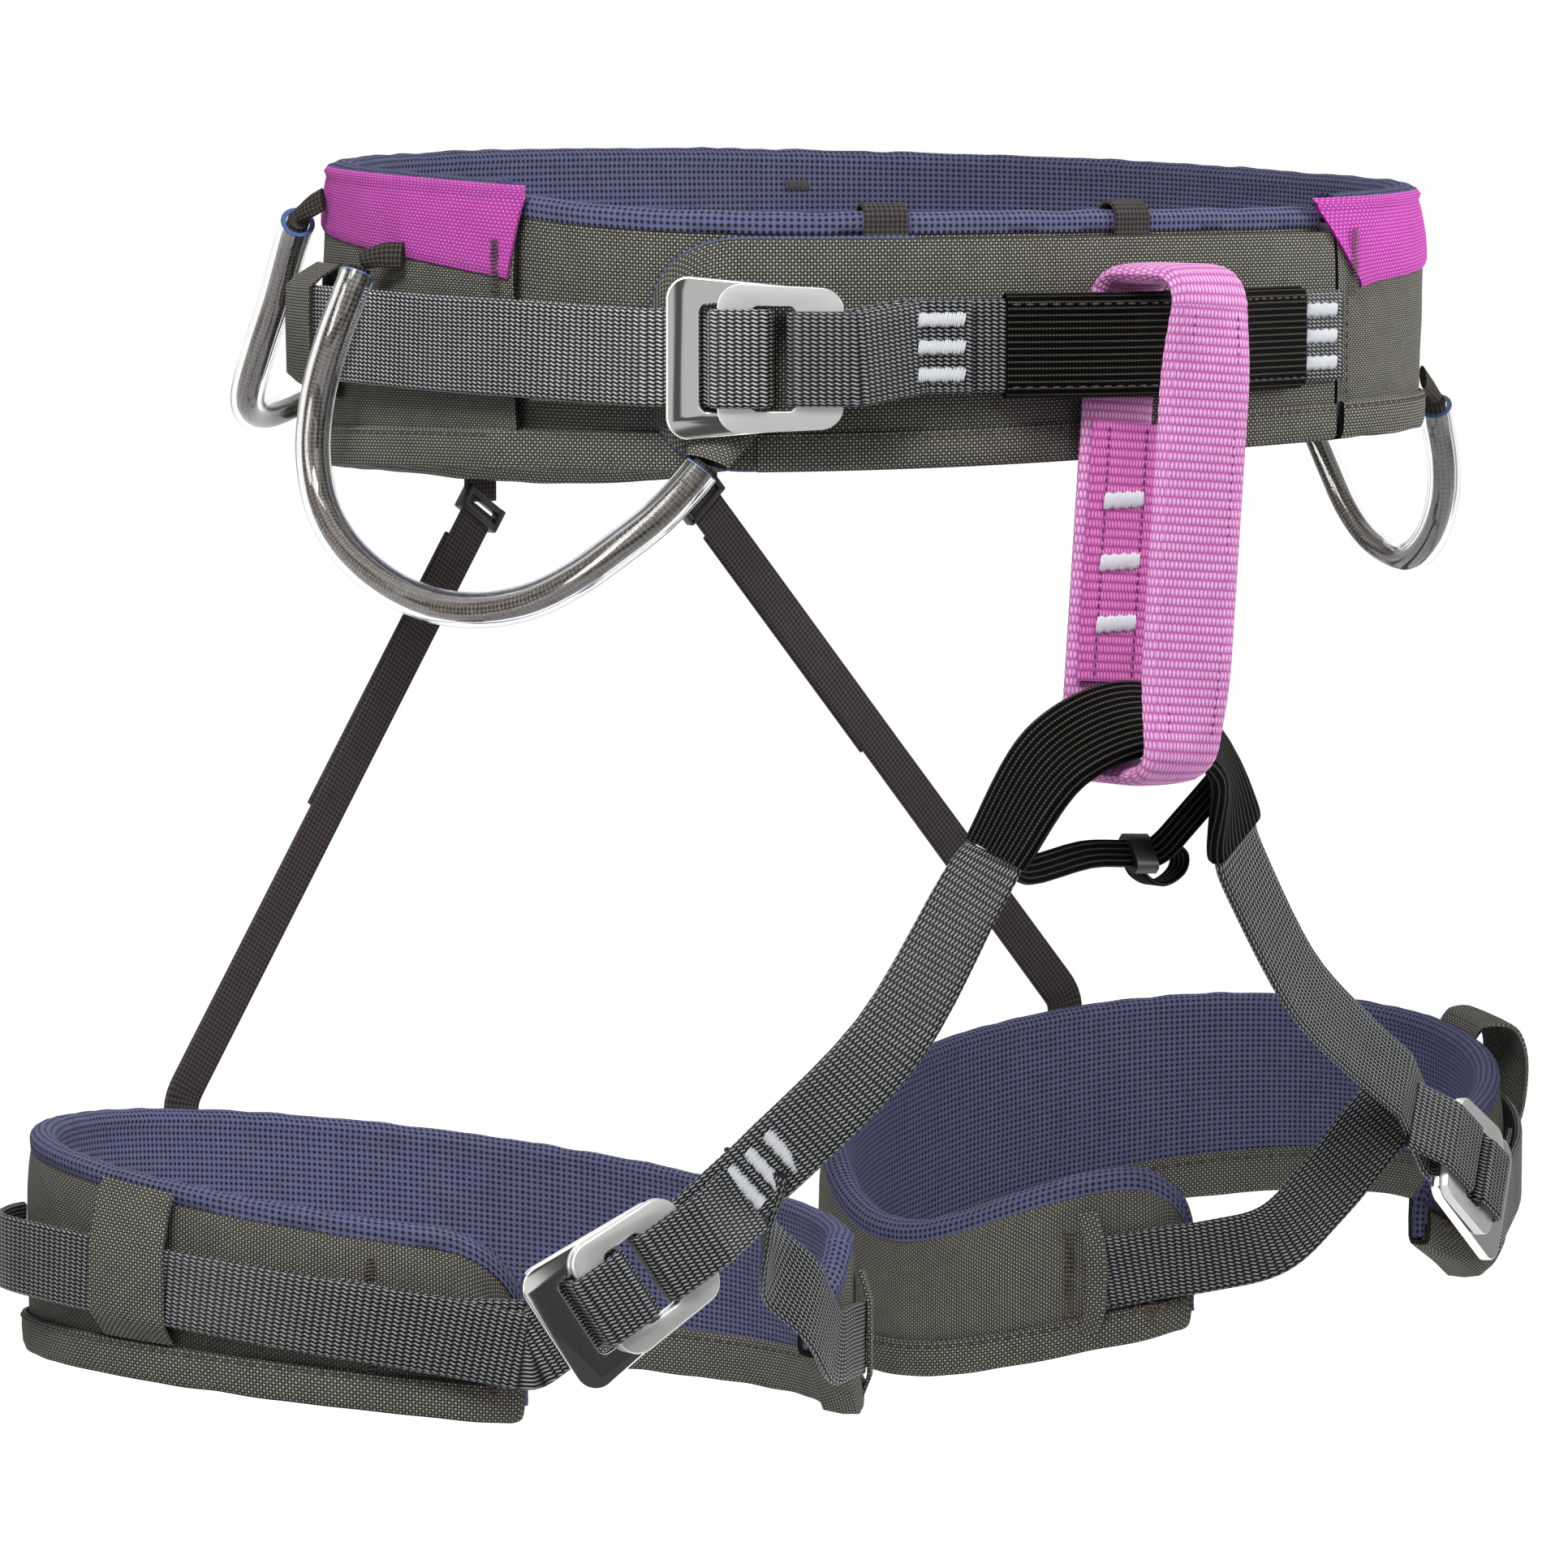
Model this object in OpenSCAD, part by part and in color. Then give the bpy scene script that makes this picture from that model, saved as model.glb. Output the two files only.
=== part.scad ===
// Climbing sit harness: padded waist belt with a front flap, double-plate buckles, belay loop,
// two padded leg loops on front risers, elastic rear risers and four tube-covered gear loops.
// Frame: origin at the middle of the waist opening, +Z up, -Y is the wearer's front, +X the wearer's left.
// Belt angles run round the waist from the front centre: 90 is the left hip, 180 the back, 270 the right hip.

/* [Waist belt] */
// Half width of the waist opening
belt_half_w = 139; // [125:1:155]
// Half depth of the waist opening
belt_half_d = 113; // [100:1:125]
// Squareness of the waist opening
belt_squareness = 2.8; // [2.2:0.1:3.2]
// Height of the top edge at the front
belt_top_front = 31; // [26:1:36]
// Height of the top edge at the back
belt_top_back = 43; // [36:1:50]
// Height of the bottom edge at the front
belt_bottom_front = -36.5; // [-40:0.5:-34]
// Height of the bottom edge at the back
belt_bottom_back = -50; // [-60:1:-44]
// Thickness of the mesh lining
lining_t = 1.6; // [1:0.1:2.2]
// Thickness of the foam under the crown of the belt
foam_t = 6; // [4:0.5:9]
// Thickness that the foam loses towards its edges
foam_draw_in = 2.4; // [1:0.1:3]
// Thickness of the shell fabric
shell_t = 1.2; // [0.8:0.1:2]
// Air between sewn layers
layer_gap = 0.3; // [0.2:0.05:0.5]
// Height of the hem on the outside of the pads
hem_outer_h = 9; // [6:0.5:11]
// Height of the hem on the inside of the pads
hem_inner_h = 12; // [8:0.5:15]

/* [Front panel and flap] */
// Height of the front panel's top edge
panel_top = 28.5; // [25:0.5:33]
// Height of the front panel's bottom edge
panel_bottom = -34; // [-36:0.5:-30]
// Thickness of the foam in the front panel
panel_foam_t = 2; // [1.5:0.1:2.6]
// Height of the flap's top edge
flap_top = 23; // [20:0.5:26]
// Height of the flap's bottom edge
flap_bottom = -37; // [-39:0.5:-35]
// Corner radius of the flap's free end
flap_corner_r = 17; // [10:1:22]
// Thickness of the foam in the flap
flap_foam_t = 1.2; // [0.8:0.1:1.5]
// Width of an elastic flap keeper
flap_keeper_w = 12; // [8:1:16]

/* [Waist webbing] */
// Width of the waist webbing
waist_web_w = 25; // [23:0.5:26]
// Thickness of the webbing
web_t = 2.2; // [1.8:0.1:2.4]
// Height of the webbing's middle on the belt
waist_web_z = -5.5; // [-7:0.5:-4]
// Air between stacked straps and plates
strap_gap = 0.4; // [0.3:0.05:0.6]
// Thickness of the tie-in sleeve's wall
sleeve_t = 1.2; // [0.8:0.1:1.6]

/* [Buckles] */
// Thickness of a buckle frame
frame_t = 3; // [2.5:0.1:3.6]
// Thickness of a buckle slider
slider_t = 2.8; // [2.2:0.1:3.2]
// Width of the metal beside the strap in a frame
frame_side = 7.2; // [6:0.2:8.5]
// Width of the metal beside the strap in a slider
slider_side = 5.6; // [4.5:0.2:6.4]
// Length of a frame's nose bar along the strap
frame_nose = 8.8; // [7:0.2:10]
// Length of a frame's tail bar along the strap
frame_tail = 10; // [8:0.5:12]
// Length of a slider's grip bar along the strap
slider_grip = 8.5; // [7:0.5:9]
// Length of a slider's lip along the strap
slider_lip = 12; // [9:0.5:13]
// Travel of a slider when a strap is loosened
slider_travel = 3; // [2:0.5:3]

/* [Belay loop] */
// Width of the belay loop's tape
belay_w = 24; // [20:1:25]
// Thickness of the belay loop's tape
belay_t = 5.6; // [4.5:0.1:6]
// Depth of the belay loop over its outside
belay_depth = 38; // [36:0.5:42]
// Height of the belay loop over its outside
belay_h = 134; // [125:1:140]
// Sideways place of the belay loop
belay_x = -24; // [-27:1:-20]

/* [Leg loops] */
// Half width of a leg opening
leg_half_w = 106; // [98:1:112]
// Half depth of a leg opening
leg_half_d = 85; // [78:1:90]
// Turn of a leg opening seen from above
leg_turn = -15; // [-20:1:-10]
// Sideways place of a leg opening's middle
leg_x = 131; // [128:1:138]
// Fore and aft place of a leg opening's middle
leg_y = 24; // [18:1:30]
// Height of a leg opening's middle
leg_z = -258; // [-266:1:-250]
// Rise of a leg loop towards the outer thigh, per length
leg_rise = 0.14; // [0.1:0.01:0.18]
// Rise of a leg loop towards the back, per length
leg_back_rise = 0.03; // [0:0.01:0.06]
// Height of the leg pad above its middle line at the front
leg_top_front = 22; // [20:0.5:25]
// Height of the leg pad above its middle line at the back
leg_top_back = 33; // [28:0.5:37]
// Depth of the leg pad below its middle line at the front
leg_bottom_front = 24; // [20:0.5:27]
// Depth of the leg pad below its middle line at the back
leg_bottom_back = 30; // [26:0.5:34]
// Height by which the pad's lower edge is cut higher at the inner thigh
leg_inner_lift = 5; // [0:0.5:8]
// Thickness of the foam in a leg loop
leg_foam_t = 4.8; // [3.5:0.1:6]
// Width of the leg webbing
leg_web_w = 20; // [18:0.5:21]
// Width of the keeper band on a leg loop
leg_keeper_w = 24; // [20:1:28]

/* [Gear loops] */
// Outside diameter of a gear loop's tube
tube_d = 9.4; // [8.4:0.2:10]
// Bore of a gear loop's tube
tube_bore = 6.6; // [6:0.2:7.2]
// Diameter of the cord inside a gear loop
gear_cord_d = 5.6; // [4.6:0.2:5.8]

/* [Risers] */
// Width of a rear riser's elastic
riser_w = 12; // [10:0.5:14]
// Thickness of a rear riser's elastic
riser_t = 1.8; // [1.4:0.1:2.2]
// Width of the bridge strap between the leg loops
bridge_w = 10.5; // [9:0.5:12]
// Thickness of the bridge strap
bridge_t = 1.6; // [1.2:0.1:2]

/* [Hidden] */
$fn = 32;

// Colours of the cloth, webbing and metal
grey = [0.30, 0.30, 0.28];
mesh_blue = [0.30, 0.31, 0.47];
magenta = [0.72, 0.22, 0.66];
pink = [0.83, 0.42, 0.78];
web_grey = [0.35, 0.35, 0.36];
black = [0.08, 0.08, 0.09];
steel = [0.80, 0.81, 0.82];
clear = [0.78, 0.80, 0.80];
thread = [0.92, 0.92, 0.92];
foam_white = [0.85, 0.84, 0.80];

// Angles round the belt where its pieces start and end
main_from = 29;
main_to = 277.4;
shell_from = 28.6;
shell_to = 281;
panel_from = 278;
panel_to = 366;
flap_from = 297;
flap_to = 360 + shell_from - 0.3;
hip_right = [233, 281];
hip_left = [28.6, 118];
belt_step = 5.5;

// Stack of layers outwards from the waist opening
foam_in = lining_t + layer_gap;
shell_in = foam_in + foam_t + layer_gap;
shell_out = shell_in + shell_t;
panel_foam_in = foam_in;
panel_shell_in = panel_foam_in + panel_foam_t + layer_gap;
panel_out = panel_shell_in + shell_t - layer_gap;
flap_foam_in = panel_out + layer_gap;
flap_shell_in = flap_foam_in + flap_foam_t + layer_gap;
flap_out = shell_in - layer_gap;
// Share of the pad's height at which its section is given
crown_steps = [0, 0.08, 0.25, 0.75, 0.92, 1];

function unit(v) = v / norm(v);
function mix(a, b, f) = a + (b - a) * f;
function share(x, range) = (x - range[0]) / (range[1] - range[0]);
function reverse(v) = [for (i = [len(v) - 1 : -1 : 0]) v[i]];
function steps(from, to, step) = let (n = max(2, ceil(abs(to - from) / step)))
    [for (i = [0 : n]) mix(from, to, i / n)];
// Swell of a pad across its height: 0 at the edges, 1 over the middle
function crown(v) = 1 - pow(abs(2 * v - 1), 4);
// Drop of a rounded corner's edge at a distance in from the end
function corner_drop(s, r) = s >= r ? 0 : r - sqrt(max(0, r * r - (r - s) * (r - s)));

// Belt surface
function belt_r(phi) = pow(pow(abs(sin(phi)) / belt_half_w, belt_squareness)
    + pow(abs(cos(phi)) / belt_half_d, belt_squareness), -1 / belt_squareness);
function belt_xy(phi) = belt_r(phi) * [sin(phi), -cos(phi), 0];
function belt_along(phi) = unit(belt_xy(phi + 0.5) - belt_xy(phi - 0.5));
function belt_out(phi) = let (t = belt_along(phi)) [t.y, -t.x, 0];
function belt_at(phi, off, z) = belt_xy(phi) + off * belt_out(phi) + [0, 0, z];
function backness(phi) = (1 - cos(phi)) / 2;
function belt_top(phi) = mix(belt_top_front, belt_top_back, backness(phi));
function belt_bottom(phi) = mix(belt_bottom_front, belt_bottom_back, pow(backness(phi), 5));
// Outside of the belt's shell at a share of its height
shell_face = function(v) shell_out - foam_draw_in * (1 - crown(v));

// Leg surface of the right leg: 0 faces the other leg, 90 the back, 180 the outer thigh, 270 the front
function leg_local(t) = [
    leg_half_w * cos(t) * cos(leg_turn) - leg_half_d * sin(t) * sin(leg_turn),
    leg_half_w * cos(t) * sin(leg_turn) + leg_half_d * sin(t) * cos(leg_turn), 0];
function leg_along(t) = unit(leg_local(t + 0.5) - leg_local(t - 0.5));
function leg_out(t) = let (d = leg_along(t)) [d.y, -d.x, 0];
function leg_at(t, off, z) = let (p = leg_local(t) + off * leg_out(t))
    [p.x - leg_x, p.y + leg_y, leg_z + z - leg_rise * p.x + leg_back_rise * p.y];
function leg_backness(t) = (1 + sin(t)) / 2;
function leg_top(t) = mix(leg_top_front, leg_top_back, leg_backness(t));
function leg_bottom(t) = leg_inner_lift * max(0, cos(t))
    - mix(leg_bottom_front, leg_bottom_back, leg_backness(t));
leg_from = -42;
leg_to = 262;
leg_step = 7;
leg_shell_in = lining_t + leg_foam_t + 2 * layer_gap;
leg_shell_out = leg_shell_in + shell_t;
leg_draw_in = 2;
leg_face = function(v) leg_shell_out - leg_draw_in * (1 - crown(v));

// Smooth curve through hand-chosen points
function curve_point(a, b, c, d, f) = 0.5 * (2 * b + (c - a) * f + (2 * a - 5 * b + 4 * c - d) * f * f
    + (3 * b - 3 * c + d - a) * f * f * f);
function curve(pts, k) = let (n = len(pts) - 1) [
    for (i = [0 : n - 1]) for (j = [0 : k - 1])
        curve_point(pts[max(i - 1, 0)], pts[i], pts[i + 1], pts[min(i + 2, n)], j / k),
    pts[n]];
// Corners of a path cut back so that a strap bends round them
function eased(pts, c) = let (n = len(pts) - 1) [
    pts[0],
    for (i = [1 : n - 1])
        for (p = [pts[i - 1], pts[i + 1]]) pts[i] + unit(p - pts[i]) * c,
    pts[n]];

// Closed surface between rings of points; a ring is an outer line and the inner line back
function side_faces(rings, m, loop) = [
    for (i = [0 : rings - (loop ? 1 : 2)]) for (j = [0 : m - 1])
        let (a = i * m + j, b = i * m + (j + 1) % m, c = ((i + 1) % rings) * m + j,
            d = ((i + 1) % rings) * m + (j + 1) % m)
        for (f = [[a, c, b], [b, c, d]]) f];
function cap_faces(first, m, turn) = [
    for (i = [0 : m / 2 - 2])
        let (a = first + i, b = first + i + 1, c = first + m - 2 - i, d = first + m - 1 - i)
        for (f = turn ? [[a, b, d], [b, c, d]] : [[a, d, b], [b, d, c]]) f];
function volume(p, f) = [for (t = f) p[t[0]] * cross(p[t[1]], p[t[2]])] * [for (t = f) 1];
module closed_mesh(points, faces) {
    outward = volume(points, faces) < 0;
    polyhedron(points, outward ? faces : [for (f = faces) reverse(f)], convexity = 10);
}
module sweep(rings, loop = false) {
    m = len(rings[0]);
    n = len(rings);
    caps = loop ? [] : concat(cap_faces(0, m, true), cap_faces((n - 1) * m, m, false));
    closed_mesh([for (r = rings) for (p = r) p], concat(side_faces(n, m, loop), caps));
}
// Sewn layer on the belt: outer and inner are lists of [offset, height] at an angle
module belt_layer(angles, section) {
    sweep([for (phi = angles) [for (q = section(phi)) belt_at(phi, q[0], q[1])]]);
}
module leg_layer(angles, section) {
    sweep([for (t = angles) [for (q = section(t)) leg_at(t, q[0], q[1])]]);
}
// Section of a slab between two offset lines over a height
function slab(in, out, bottom, top) = [[out, bottom], [out, top], [in, top], [in, bottom]];
function crowned(in, face, bottom, top) = concat(
    [for (v = crown_steps) [face(v), mix(bottom, top, v)]],
    [for (v = reverse(crown_steps)) [in(v), mix(bottom, top, v)]]);
// Folded strip round the lower edge of a pad
function hem_section(face, bottom, top, t) = let (
    low = bottom - layer_gap, out = face(hem_outer_h / (top - bottom)) + layer_gap) [
    [out + t, bottom + hem_outer_h], [out + t - 1, low - t], [-layer_gap - t, low - t],
    [-layer_gap - t, bottom + hem_inner_h], [-layer_gap, bottom + hem_inner_h],
    [-layer_gap, low], [out - 1, low], [out, bottom + hem_outer_h]];

// Flat strap along a path; across gives the direction of its width at each point
function strap_rings(pts, across, w, t) = let (n = len(pts) - 1) [
    for (i = [0 : n])
        let (a1 = max(i, 1), a2 = min(i, n - 1),
            d1 = unit(pts[a1] - pts[a1 - 1]), d2 = unit(pts[a2 + 1] - pts[a2]),
            d = unit(d1 + d2), a = unit(across[i] - d * (across[i] * d)),
            out = cross(a, d), lean = max(0.5, out * cross(a, d1)),
            wide = a * w / 2, thick = out * t / 2 / lean)
        [pts[i] + thick - wide, pts[i] + thick + wide, pts[i] - thick + wide, pts[i] - thick - wide]];
function same(v, pts) = [for (p = pts) v];
module strap(pts, across, w, t) sweep(strap_rings(pts, across, w, t));
// Flat sleeve with a clear inside, swept along a strap's path
module sleeve(pts, across, w, t, wall) {
    outer = strap_rings(pts, across, w, t);
    inner = strap_rings(pts, across, w - 2 * wall, t - 2 * wall);
    pipe_wall(outer, inner);
}
// Round tube and cord along a path that keeps clear of the side direction
function round_rings(pts, side, r, k) = let (n = len(pts) - 1) [
    for (i = [0 : n])
        let (d = unit(pts[min(i + 1, n)] - pts[max(i - 1, 0)]),
            u = unit(side[i] - d * (side[i] * d)), v = cross(d, u))
        [for (j = [0 : k - 1]) pts[i] + r * (cos(360 * j / k) * u + sin(360 * j / k) * v)]];
module pipe_wall(outer, inner) {
    n = len(outer);
    m = len(outer[0]);
    all = n * m;
    points = concat([for (r = outer) for (p = r) p], [for (r = inner) for (p = r) p]);
    skin = side_faces(n, m, false);
    lining = [for (f = skin) [for (i = reverse(f)) i + all]];
    ends = [for (e = [0, n - 1]) for (j = [0 : m - 1])
        let (a = e * m + j, b = e * m + (j + 1) % m, turn = e == 0)
        for (f = turn ? [[a, b, a + all], [b, b + all, a + all]]
            : [[b, a, a + all], [b + all, b, a + all]]) f];
    closed_mesh(points, concat(skin, lining, ends));
}
module rod(pts, side, r, k) {
    rings = round_rings(pts, side, r, k);
    n = len(rings);
    last = (n - 1) * k;
    caps = [for (j = [1 : k - 2]) for (f = [[0, j, j + 1], [last, last + j + 1, last + j]]) f];
    closed_mesh([for (r = rings) for (p = r) p], concat(side_faces(n, k, false), caps));
}
// Child drawn in a frame given by its origin and two axes
module in_frame(o, u, n) {
    v = cross(n, u);
    multmatrix([[u.x, v.x, n.x, o.x], [u.y, v.y, n.y, o.y], [u.z, v.z, n.z, o.z], [0, 0, 0, 1]]) children();
}
module left_leg() mirror([1, 0, 0]) children();

// Waist belt
belt_angles = steps(main_from, main_to, belt_step);
shell_angles = concat([shell_from], [for (phi = belt_angles) if (phi > shell_from + 1) phi], [shell_to]);
module waist_lining() {
    color(mesh_blue) belt_layer(belt_angles, function(phi)
        slab(0, lining_t, belt_bottom(phi), belt_top(phi) + lining_t));
}
module waist_foam() {
    color(foam_white) belt_layer(belt_angles, function(phi)
        crowned(function(v) foam_in, function(v) shell_face(v) - shell_t - layer_gap,
            belt_bottom(phi), belt_top(phi)));
}
module waist_shell() {
    color(grey) belt_layer(shell_angles, function(phi)
        crowned(function(v) shell_face(v) - shell_t, shell_face, belt_bottom(phi), belt_top(phi)));
}
module waist_hem() {
    color(grey) belt_layer(belt_angles, function(phi)
        hem_section(shell_face, belt_bottom(phi), belt_top(phi), shell_t));
}
// Bright panels over the upper hips; their lower edge falls towards the front
hip_t = 0.9;
hip_steps = [0, 0.5, 0.8, 1];
function hip_section(phi, low) = let (
    bottom = belt_bottom(phi), top = belt_top(phi), v0 = (low - bottom) / (top - bottom),
    vs = [for (s = hip_steps) mix(v0, 1, s)])
    concat([for (v = vs) [shell_face(v) + layer_gap + hip_t, mix(bottom, top, v)]],
        [for (v = reverse(vs)) [shell_face(v) + layer_gap, mix(bottom, top, v)]]);
hip_low_front = 12;
hip_low_left = 8;
hip_low_back = 25;
module right_hip_panel() {
    color(magenta) belt_layer(steps(hip_right[0], hip_right[1], belt_step), function(phi)
        hip_section(phi, mix(hip_low_back, hip_low_front, share(phi, hip_right))));
}
module left_hip_panel() {
    color(magenta) belt_layer(steps(hip_left[0], hip_left[1], belt_step), function(phi)
        hip_section(phi, mix(hip_low_left, hip_low_back, share(phi, hip_left))));
}

// Front panel behind the flap
panel_angles = steps(panel_from, panel_to, belt_step);
module front_panel_lining() {
    color(mesh_blue) belt_layer(panel_angles, function(phi)
        slab(0, lining_t, panel_bottom, panel_top + lining_t));
}
module front_panel_foam() {
    color(foam_white) belt_layer(panel_angles, function(phi)
        slab(panel_foam_in, panel_foam_in + panel_foam_t, panel_bottom, panel_top));
}
module front_panel_shell() {
    color(grey) belt_layer(panel_angles, function(phi)
        slab(panel_shell_in, panel_out, panel_bottom, panel_top));
}
// Front flap with a rounded free end
flap_rounds = [0, 0.6, 1.8, 3.6, 6, 9];
flap_angles = concat([for (d = flap_rounds) flap_from + d], steps(flap_from + 12, flap_to, belt_step));
function flap_drop(phi) = corner_drop((phi - flap_from) * belt_half_d * PI / 180, flap_corner_r);
module front_flap_foam() {
    color(foam_white) belt_layer(flap_angles, function(phi)
        slab(flap_foam_in, flap_foam_in + flap_foam_t,
            flap_bottom + flap_drop(phi), flap_top - flap_drop(phi)));
}
module front_flap_shell() {
    color(grey) belt_layer(flap_angles, function(phi)
        slab(flap_shell_in, flap_out, flap_bottom + flap_drop(phi), flap_top - flap_drop(phi)));
}
// Elastic keepers that hold the front panel's upper edge to the flap
flap_keeper_at = [319.5, 352.5];
flap_keeper_t = 0.9;
flap_keeper_low = 22;
module flap_keepers() {
    half = flap_keeper_w / belt_half_d * 90 / PI;
    top = panel_top + lining_t + layer_gap;
    out = panel_out + layer_gap;
    color(black) for (mid = flap_keeper_at)
        belt_layer(steps(mid - half, mid + half, belt_step), function(phi) [
            [out + flap_keeper_t, flap_top + layer_gap], [out + flap_keeper_t, top + flap_keeper_t],
            [-layer_gap - flap_keeper_t, top + flap_keeper_t], [-layer_gap - flap_keeper_t, flap_keeper_low],
            [-layer_gap, flap_keeper_low], [-layer_gap, top], [out, top], [out, flap_top + layer_gap]]);
}

// Buckle: a frame with a window and a slider plate that lies on it.
// Along the strap, zero is the middle of the frame
buckle_r = 6;
window_r = 2;
frame_window = 25;
frame_from = -frame_window / 2 - frame_nose;
frame_to = frame_window / 2 + frame_tail;
// Places along the strap where it rises, comes down and turns, from the left edge of the frame's window
rise_u = -frame_window / 2 + strap_gap + 1.6 + web_t / 2;
grip_from = rise_u + web_t / 2 + strap_gap;
slider_window_from = grip_from + slider_grip;
fall_u = slider_window_from + slider_travel + strap_gap + web_t / 2;
lip_from = frame_window / 2 - 0.4;
turn_u = lip_from - strap_gap - web_t / 2;
slider_to = lip_from + slider_lip;
slider_n = frame_t + strap_gap + 0.2;
over_n = slider_n + slider_t + strap_gap + web_t / 2;
under_n = -strap_gap - web_t / 2;
tail_n = under_n - web_t - strap_gap;
module plate(from, to, half_from, half_to, r) {
    polygon([[from + r, -half_from], [to - r, -half_to], [to, r - half_to], [to, half_to - r],
        [to - r, half_to], [from + r, half_from], [from, half_from - r], [from, r - half_from]]);
    for (s = [-1, 1]) {
        translate([from + r, s * (half_from - r)]) circle(r);
        translate([to - r, s * (half_to - r)]) circle(r);
    }
}
module buckle_frame(w) {
    half = w / 2 + 1;
    color(steel) linear_extrude(frame_t) difference() {
        plate(frame_from, frame_to, half + frame_side, half + frame_side - 3, buckle_r);
        plate(-frame_window / 2, frame_window / 2, half, half, window_r);
    }
}
module buckle_slider(w) {
    half = w / 2 + 0.8;
    color(steel) translate([0, 0, slider_n]) linear_extrude(slider_t) difference() {
        plate(grip_from, slider_to, half + slider_side, half + slider_side - 1, buckle_r);
        plate(slider_window_from, lip_from, half, half, window_r);
    }
}
// Route of the adjustable strap through a buckle, then of its tail, in the buckle's frame
ease = 1.3;
function adjustable_wrap() = concat([[frame_from - 6, 0, under_n]], eased([[frame_from - 1, 0, under_n],
    [rise_u, 0, under_n], [rise_u, 0, over_n], [fall_u, 0, over_n],
    [fall_u, 0, tail_n], [frame_from, 0, tail_n]], ease));
// Route of the fixed strap: over the slider's lip, down behind it and back under the frame
function fixed_wrap() = eased([
    [slider_to + slider_travel + 1, 0, over_n], [turn_u, 0, over_n], [turn_u, 0, under_n],
    [frame_to + 2, 0, under_n]], ease);
// End of the fixed strap, sewn on top of itself past the slider's travel
sewn_end = [slider_to + slider_travel + 15, 0, under_n + web_t + strap_gap];
function framed(pts, o, u, n) = let (v = cross(n, u)) [for (p = pts) o + p.x * u + p.y * v + p.z * n];

// Waist webbing, buckle and upper tie-in
waist_buckle_at = 306.5;
waist_buckle_off = flap_out + web_t * 2 + strap_gap * 3 + 0.6;
waist_buckle_o = belt_at(waist_buckle_at, waist_buckle_off, waist_web_z - 1.5);
waist_buckle_u = belt_along(waist_buckle_at);
waist_buckle_n = belt_out(waist_buckle_at);
// Slack of the waist webbing off the shell: [angle, offset of its middle, drop below its usual height]
webbing_route = [[239.5, shell_out + 2.5, 2], [243, shell_out + 6, 2], [248, shell_out + 7.5, 2],
    [258, shell_out + 6, 1.5], [270, shell_out + 5, 0.5], [282, shell_out + 4.6, 0],
    [291, shell_out + 4.6, -1]];
function on_belt(q) = belt_at(q[0], q[1], waist_web_z + q[2]);
tail_route = [[297, flap_out + 2.6, -1.5], [291, shell_out + 1.7, -1.2], [284, shell_out + 1.5, -1]];
module waist_webbing() {
    wrap = framed(adjustable_wrap(), waist_buckle_o, waist_buckle_u, waist_buckle_n);
    pts = concat([for (q = curve(webbing_route, 3)) on_belt(q)], wrap, [for (q = tail_route) on_belt(q)]);
    color(web_grey) strap(pts, same([0, 0, 1], pts), waist_web_w, web_t);
}
module waist_buckle_frame() {
    in_frame(waist_buckle_o, waist_buckle_u, waist_buckle_n) buckle_frame(waist_web_w);
}
module waist_buckle_slider() {
    in_frame(waist_buckle_o, waist_buckle_u, waist_buckle_n) buckle_slider(waist_web_w);
}
// Cloth strip that covers the webbing where it comes round the right hip
tunnel_angles = steps(239, 250, 3);
tunnel_t = 1;
tunnel_rise = shell_out + 7.5 + web_t / 2 + strap_gap;
tunnel_edge = 4;
module webbing_tunnel() {
    top = waist_web_z + 2 + waist_web_w / 2 + strap_gap;
    low = waist_web_z + 2 - waist_web_w / 2 - strap_gap;
    foot = shell_out + layer_gap;
    color(grey) belt_layer(tunnel_angles, function(phi) [
        [foot + tunnel_t, low - tunnel_edge - tunnel_t], [tunnel_rise + tunnel_t, low - tunnel_t],
        [tunnel_rise + tunnel_t, top + tunnel_t], [foot + tunnel_t, top + tunnel_edge + tunnel_t],
        [foot, top + tunnel_edge], [tunnel_rise, top], [tunnel_rise, low], [foot, low - tunnel_edge]]);
}
// Tie-in strap: doubled at the buckle, then through the sleeve to the left hip, off the flap for the belay loop
belay_air = 3;
tie_in_off = flap_out + 2 * belay_air + belay_t + sleeve_t + strap_gap;
tie_in_route = [[320, flap_out + 5.2], [324, flap_out + 4.5], [331, flap_out + 7], [340, tie_in_off],
    [350, tie_in_off + web_t / 2 + 1.5], [360, tie_in_off], [369, flap_out + 6.5],
    [377, flap_out + 3.6], [383, flap_out + 2.4], [flap_to, flap_out + 1.9]];
function tie_in_point(q) = belt_at(q[0], q[1], waist_web_z + 1);
tie_in_curve = curve(tie_in_route, 2);
sleeve_range = [4, 15];
function tie_in_off_at(phi) = lookup(phi, [for (q = tie_in_curve) [q[0], q[1]]]);
sewn_lift = web_t + strap_gap;
sewn_angles = [327, 322];
tie_in_w = waist_web_w - 1;
module tie_in_strap() {
    wrap = framed(fixed_wrap(), waist_buckle_o, waist_buckle_u, waist_buckle_n);
    sewn = [for (phi = sewn_angles) tie_in_point([phi, tie_in_off_at(phi) + sewn_lift])];
    pts = concat(sewn, wrap, [for (q = tie_in_curve) tie_in_point(q)]);
    color(web_grey) strap(pts, same([0, 0, 1], pts), tie_in_w, web_t);
}
module tie_in_sleeve() {
    pts = [for (i = [sleeve_range[0] : sleeve_range[1]]) tie_in_point(tie_in_curve[i])];
    color(black) sleeve(pts, same([0, 0, 1], pts), tie_in_w + 2 * (sleeve_t + strap_gap),
        web_t + 2 * (sleeve_t + strap_gap), sleeve_t);
}

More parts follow.
